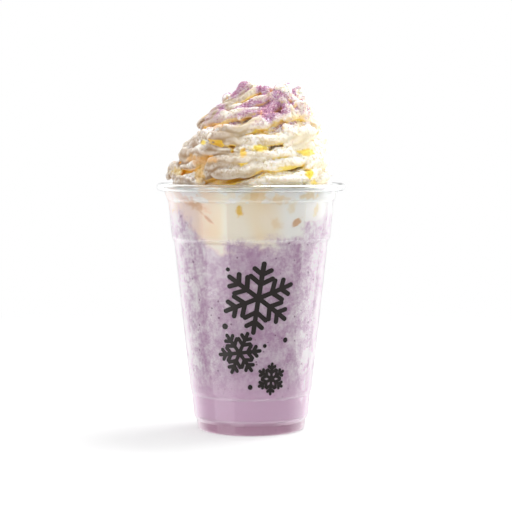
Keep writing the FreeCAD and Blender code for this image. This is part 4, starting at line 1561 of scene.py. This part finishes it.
def print_tree(printed):
    """Geometry tree: flakes with like arms are drawn flat, given round ends, thinned to ink and bent round the cup."""
    tree, group_in, group_out = new_geometry_tree(
        "Printed flakes",
        {
            "Arms": ("NodeSocketInt", printed.arms),
            "Ink": ("NodeSocketFloat", printed.ink),
            "Foot radius": ("NodeSocketFloat", 0.0),
            "Foot height": ("NodeSocketFloat", 0.0),
            "Slope": ("NodeSocketFloat", 0.0),
            "Middle radius": ("NodeSocketFloat", 0.0),
            "Material": ("NodeSocketMaterial", None),
        },
    )
    size_of = group_in.outputs
    flake = one_flake(tree, size_of)
    reach = add(tree, "GeometryNodeInputNamedAttribute", {"Name": "reach"})
    turned = add(tree, "GeometryNodeInputNamedAttribute", {"Name": "turned"})
    is_flake = add(tree, "ShaderNodeMath", {0: reach, 1: 0.1 * MM}, operation="GREATER_THAN")
    is_dot = add(tree, "ShaderNodeMath", {0: 1.0, 1: is_flake}, operation="SUBTRACT")
    flakes = add(
        tree,
        "GeometryNodeInstanceOnPoints",
        {
            "Points": size_of["Geometry"],
            "Selection": is_flake,
            "Instance": flake,
            "Rotation": add(tree, "ShaderNodeCombineXYZ", {"Y": turned}),
            "Scale": add(tree, "ShaderNodeCombineXYZ", {axis: reach for axis in "XYZ"}),
        },
    )
    flakes = add(tree, "GeometryNodeRealizeInstances", {"Geometry": flakes})
    flakes = add(tree, "GeometryNodeResampleCurve", {"Curve": flakes, "Length": 0.7 * MM}, mode="LENGTH")
    stroke = add(tree, "GeometryNodeInputNamedAttribute", {"Name": "stroke"})
    half_stroke = add(tree, "ShaderNodeMath", {0: stroke, 1: 0.5}, operation="MULTIPLY")
    section = add(tree, "GeometryNodeCurvePrimitiveCircle", {"Resolution": 16, "Radius": 1.0})
    drawn = add(
        tree,
        "GeometryNodeCurveToMesh",
        {"Curve": flakes, "Profile Curve": section.outputs["Curve"], "Scale": half_stroke, "Fill Caps": True},
    )
    ball = add(tree, "GeometryNodeMeshUVSphere", {"Segments": 24, "Rings": 12, "Radius": 1.0})
    round_size = add(tree, "ShaderNodeCombineXYZ", {axis: half_stroke for axis in "XYZ"})
    far_ends = add(tree, "GeometryNodeCurveEndpointSelection", {"Start Size": 0})
    joined = tree.nodes.new("GeometryNodeJoinGeometry")
    tree.links.new(drawn.outputs[0], joined.inputs[0])
    for points, chosen in ((flakes, far_ends), (size_of["Geometry"], is_dot)):
        rounds = add(
            tree,
            "GeometryNodeInstanceOnPoints",
            {"Points": points, "Selection": chosen, "Instance": ball.outputs["Mesh"], "Scale": round_size},
        )
        tree.links.new(rounds.outputs[0], joined.inputs[0])
    joined = add(tree, "GeometryNodeRealizeInstances", {"Geometry": joined})
    bent = bent_round(tree, size_of, joined)
    whole = add(tree, "GeometryNodeRealizeInstances", {"Geometry": bent})
    dressed = add(tree, "GeometryNodeSetMaterial", {"Geometry": whole, "Material": size_of["Material"]})
    tree.links.new(dressed.outputs[0], group_out.inputs[0])
    return tree


class FRAPPE_OT_print(bpy.types.Operator):
    """Prints plain flakes of snow and loose dots on the front of the cup"""

    bl_idname = "frappe.print"
    bl_label = "Print"

    def execute(self, context):
        scene = context.scene
        cup, printed = scene.frappe_cup, scene.frappe_print
        levels = inside_levels(cup)
        # The print lies on the plain body between the lower and the upper step.
        foot_radius, foot_height = levels[4][0] + cup.wall, levels[4][1]
        top_radius, top_height = levels[5][0] + cup.wall, levels[5][1]
        slope = (top_radius - foot_radius) / (top_height - foot_height)
        # Each flake as (to the right, below the largest, size against it, turn in degrees).
        flakes = [(1.0, 0.0, 1.0, 8), (-8.5, 27.0, 0.62, 24), (8.5, 40.0, 0.44, 2)]
        # Each dot as (to the right, below the largest flake, radius). It has no arms, so its reach is 0.
        dots = [(-15.5, 14.0, 1.5), (15.5, 21.0, 1.3), (4.5, 23.5, 1.0), (-3.0, 44.0, 1.3), (-13.0, -14.0, 1.0)]
        marks = [
            (right, below, printed.largest * size, math.radians(turn), printed.stroke * size**0.45)
            for right, below, size, turn in flakes
        ]
        marks += [(right, below, 0.0, 0.0, 2 * radius * MM) for right, below, radius in dots]
        places = [(printed.aside + mark[0] * MM, 0, printed.top - mark[1] * MM) for mark in marks]
        points = mesh_from("print", places, [])
        for column, name in enumerate(("reach", "turned", "stroke"), start=2):
            store(points, name, [mark[column] for mark in marks])
        piece = new_piece("print", points)
        sizes = {
            "Foot radius": foot_radius,
            "Foot height": foot_height,
            "Slope": slope,
            "Middle radius": (foot_radius + top_radius) / 2,
            "Material": screen_ink(scene.frappe_finish),
        }
        use_tree(piece, print_tree(printed), sizes)
        piece = plain_mesh(piece, "print")
        ride_as(piece, "clear_cup")
        return {"FINISHED"}


def white_surroundings(stage):
    """The white surroundings, which light the cup and show in its reflections."""
    world = bpy.data.worlds.new("white surroundings")
    world.use_nodes = True
    tree = world.node_tree
    tree.nodes.clear()
    ray = add(tree, "ShaderNodeLightPath").outputs
    # White where it is seen straight or through the plastic. Reflections and light fall off towards the front,
    # where a dim room lies behind the camera, and tall soft boxes stand at both sides.
    way = add(tree, "ShaderNodeSeparateXYZ", {"Vector": add(tree, "ShaderNodeTexCoord").outputs["Generated"]}).outputs
    behind = add(
        tree, "ShaderNodeMapRange", {"Value": way["Y"], "From Min": -0.6, "From Max": 0.5, "To Min": stage.room}
    )
    ahead = add(tree, "ShaderNodeMath", {0: way["Y"], 1: -1.0}, operation="MULTIPLY")
    bearing = add(tree, "ShaderNodeMath", {0: way["X"], 1: ahead}, operation="ARCTAN2")
    mirrored = behind
    boxes = [(-78, -34, 3, stage.front_box), (96, 165, 24, stage.right_box), (-165, -112, 20, stage.left_box)]
    for low, high, soft, strength in boxes:
        box = None
        for edge, direction in ((low, 1), (high, -1)):
            side = add(
                tree,
                "ShaderNodeMapRange",
                {
                    "Value": bearing,
                    "From Min": math.radians(edge - soft * direction),
                    "From Max": math.radians(edge + soft * direction),
                },
                interpolation_type="SMOOTHSTEP",
            )
            box = side if box is None else add(tree, "ShaderNodeMath", {0: box, 1: side}, operation="MULTIPLY")
        mirrored = add(tree, "ShaderNodeMath", {0: box, 1: strength, 2: mirrored}, operation="MULTIPLY_ADD")
    flags = add(
        tree,
        "ShaderNodeMapRange",
        {"Value": way["Y"], "From Min": 0.8, "From Max": 0.95, "To Min": 1.0, "To Max": stage.flags},
    )
    mirrored = add(tree, "ShaderNodeMath", {0: mirrored, 1: flags}, operation="MULTIPLY")
    clear = add(
        tree,
        "ShaderNodeMath",
        {0: ray["Is Camera Ray"], 1: ray["Is Transmission Ray"]},
        operation="ADD",
        use_clamp=True,
    )
    fall = add(tree, "ShaderNodeMapRange", {"Value": behind, "To Min": stage.front_fall, "To Max": 1.0})
    diffuse = add(tree, "ShaderNodeMath", {0: fall, 1: stage.sky}, operation="MULTIPLY")
    lit = add(tree, "ShaderNodeMapRange", {"Value": ray["Is Glossy Ray"], "To Min": diffuse, "To Max": mirrored})
    # Light that the rolled rim bends aside comes from dim flags beside the backdrop, which draws its edge.
    turned = add(
        tree, "ShaderNodeMapRange", {"Value": way["Y"], "From Min": 0.8, "From Max": 0.965, "To Min": stage.rim_edge}
    )
    inside = add(tree, "ShaderNodeMath", {0: ray["Diffuse Depth"], 1: 0.5}, operation="GREATER_THAN")
    turned = add(tree, "ShaderNodeMapRange", {"Value": inside, "To Min": turned, "To Max": stage.filling})
    through = add(tree, "ShaderNodeMapRange", {"Value": ray["Is Camera Ray"], "To Min": turned, "To Max": 1.0})
    strength = add(tree, "ShaderNodeMapRange", {"Value": clear, "To Min": lit, "To Max": through})
    sky = add(tree, "ShaderNodeBackground", {"Color": (1, 1, 1, 1), "Strength": strength})
    add(tree, "ShaderNodeOutputWorld", {"Surface": sky})
    return world


def hang_lamps(scene, stage):
    """Hangs the area lamps, which all face the middle of the cup."""
    middle = Vector((0, 0, 0.1))
    lamps = [
        ("softbox", stage.softbox, (-0.58, -0.46, 0.20), (0.55, 0.7)),
        ("key", stage.key, (0.30, 0.24, 0.88), (0.5, 0.5)),
        ("side", stage.side, (0.74, 0.16, 0.24), (0.6, 0.9)),
    ]
    for name, power, place, size in lamps:
        light = bpy.data.lights.new(name, "AREA")
        light.shape = "RECTANGLE"
        light.size, light.size_y = size
        light.energy = power
        lamp = bpy.data.objects.new(name, light)
        lamp.location = place
        lamp.rotation_euler = (middle - lamp.location).to_track_quat("-Z", "Y").to_euler()
        scene.collection.objects.link(lamp)


def set_camera(scene, stage):
    """Sets the camera in front of the cup."""
    camera = bpy.data.objects.new("camera", bpy.data.cameras.new("camera"))
    camera.data.angle = stage.view
    camera.location = (stage.aside, -stage.distance, stage.eye)
    target = Vector((stage.aside, 0, stage.aim))
    camera.rotation_euler = (target - camera.location).to_track_quat("-Z", "Y").to_euler()
    scene.collection.objects.link(camera)
    scene.camera = camera


class FRAPPE_OT_stage(bpy.types.Operator):
    """Sets the floor, the soft lights, the white surroundings and the camera"""

    bl_idname = "frappe.stage"
    bl_label = "Stage"

    def execute(self, context):
        scene = context.scene
        stage = scene.frappe_stage
        half = 3.0
        corners = [(-half, -half, 0), (half, -half, 0), (half, half, 0), (-half, half, 0)]
        floor = new_piece("floor", mesh_from("floor", corners, [(0, 1, 2, 3)], smooth=False))
        floor.data.materials.append(pale_floor(scene.frappe_finish, stage.bright, stage.fade))
        scene.world = white_surroundings(stage)
        hang_lamps(scene, stage)
        set_camera(scene, stage)
        scene.view_settings.view_transform = "Standard"
        return {"FINISHED"}


OPERATORS = [
    FRAPPE_OT_stage,
    FRAPPE_OT_cup,
    FRAPPE_OT_drink,
    FRAPPE_OT_mouth_cream,
    FRAPPE_OT_swirl,
    FRAPPE_OT_powder,
    FRAPPE_OT_print,
]


class FRAPPE_PT_panel(bpy.types.Panel):
    """Lists the pieces of the frappe"""

    bl_idname = "FRAPPE_PT_panel"
    bl_label = "Taro Frappe"
    bl_space_type = "VIEW_3D"
    bl_region_type = "UI"
    bl_category = "Frappe"

    def draw(self, context):
        for operator in OPERATORS:
            self.layout.operator(operator.bl_idname)
        for group_name, group in GROUPS.items():
            box = self.layout.box()
            for size in group.__annotations__:
                box.prop(getattr(context.scene, group_name), size)


def register():
    for group_name, group in GROUPS.items():
        bpy.utils.register_class(group)
        setattr(bpy.types.Scene, group_name, PointerProperty(type=group))
    for item in OPERATORS + [FRAPPE_PT_panel]:
        bpy.utils.register_class(item)


def unregister():
    for item in reversed(OPERATORS + [FRAPPE_PT_panel]):
        bpy.utils.unregister_class(item)
    for group_name, group in reversed(GROUPS.items()):
        delattr(bpy.types.Scene, group_name)
        bpy.utils.unregister_class(group)


def main():
    register()
    for operator in OPERATORS:
        area, name = operator.bl_idname.split(".")
        getattr(getattr(bpy.ops, area), name)()


if __name__ == "__main__":
    main()
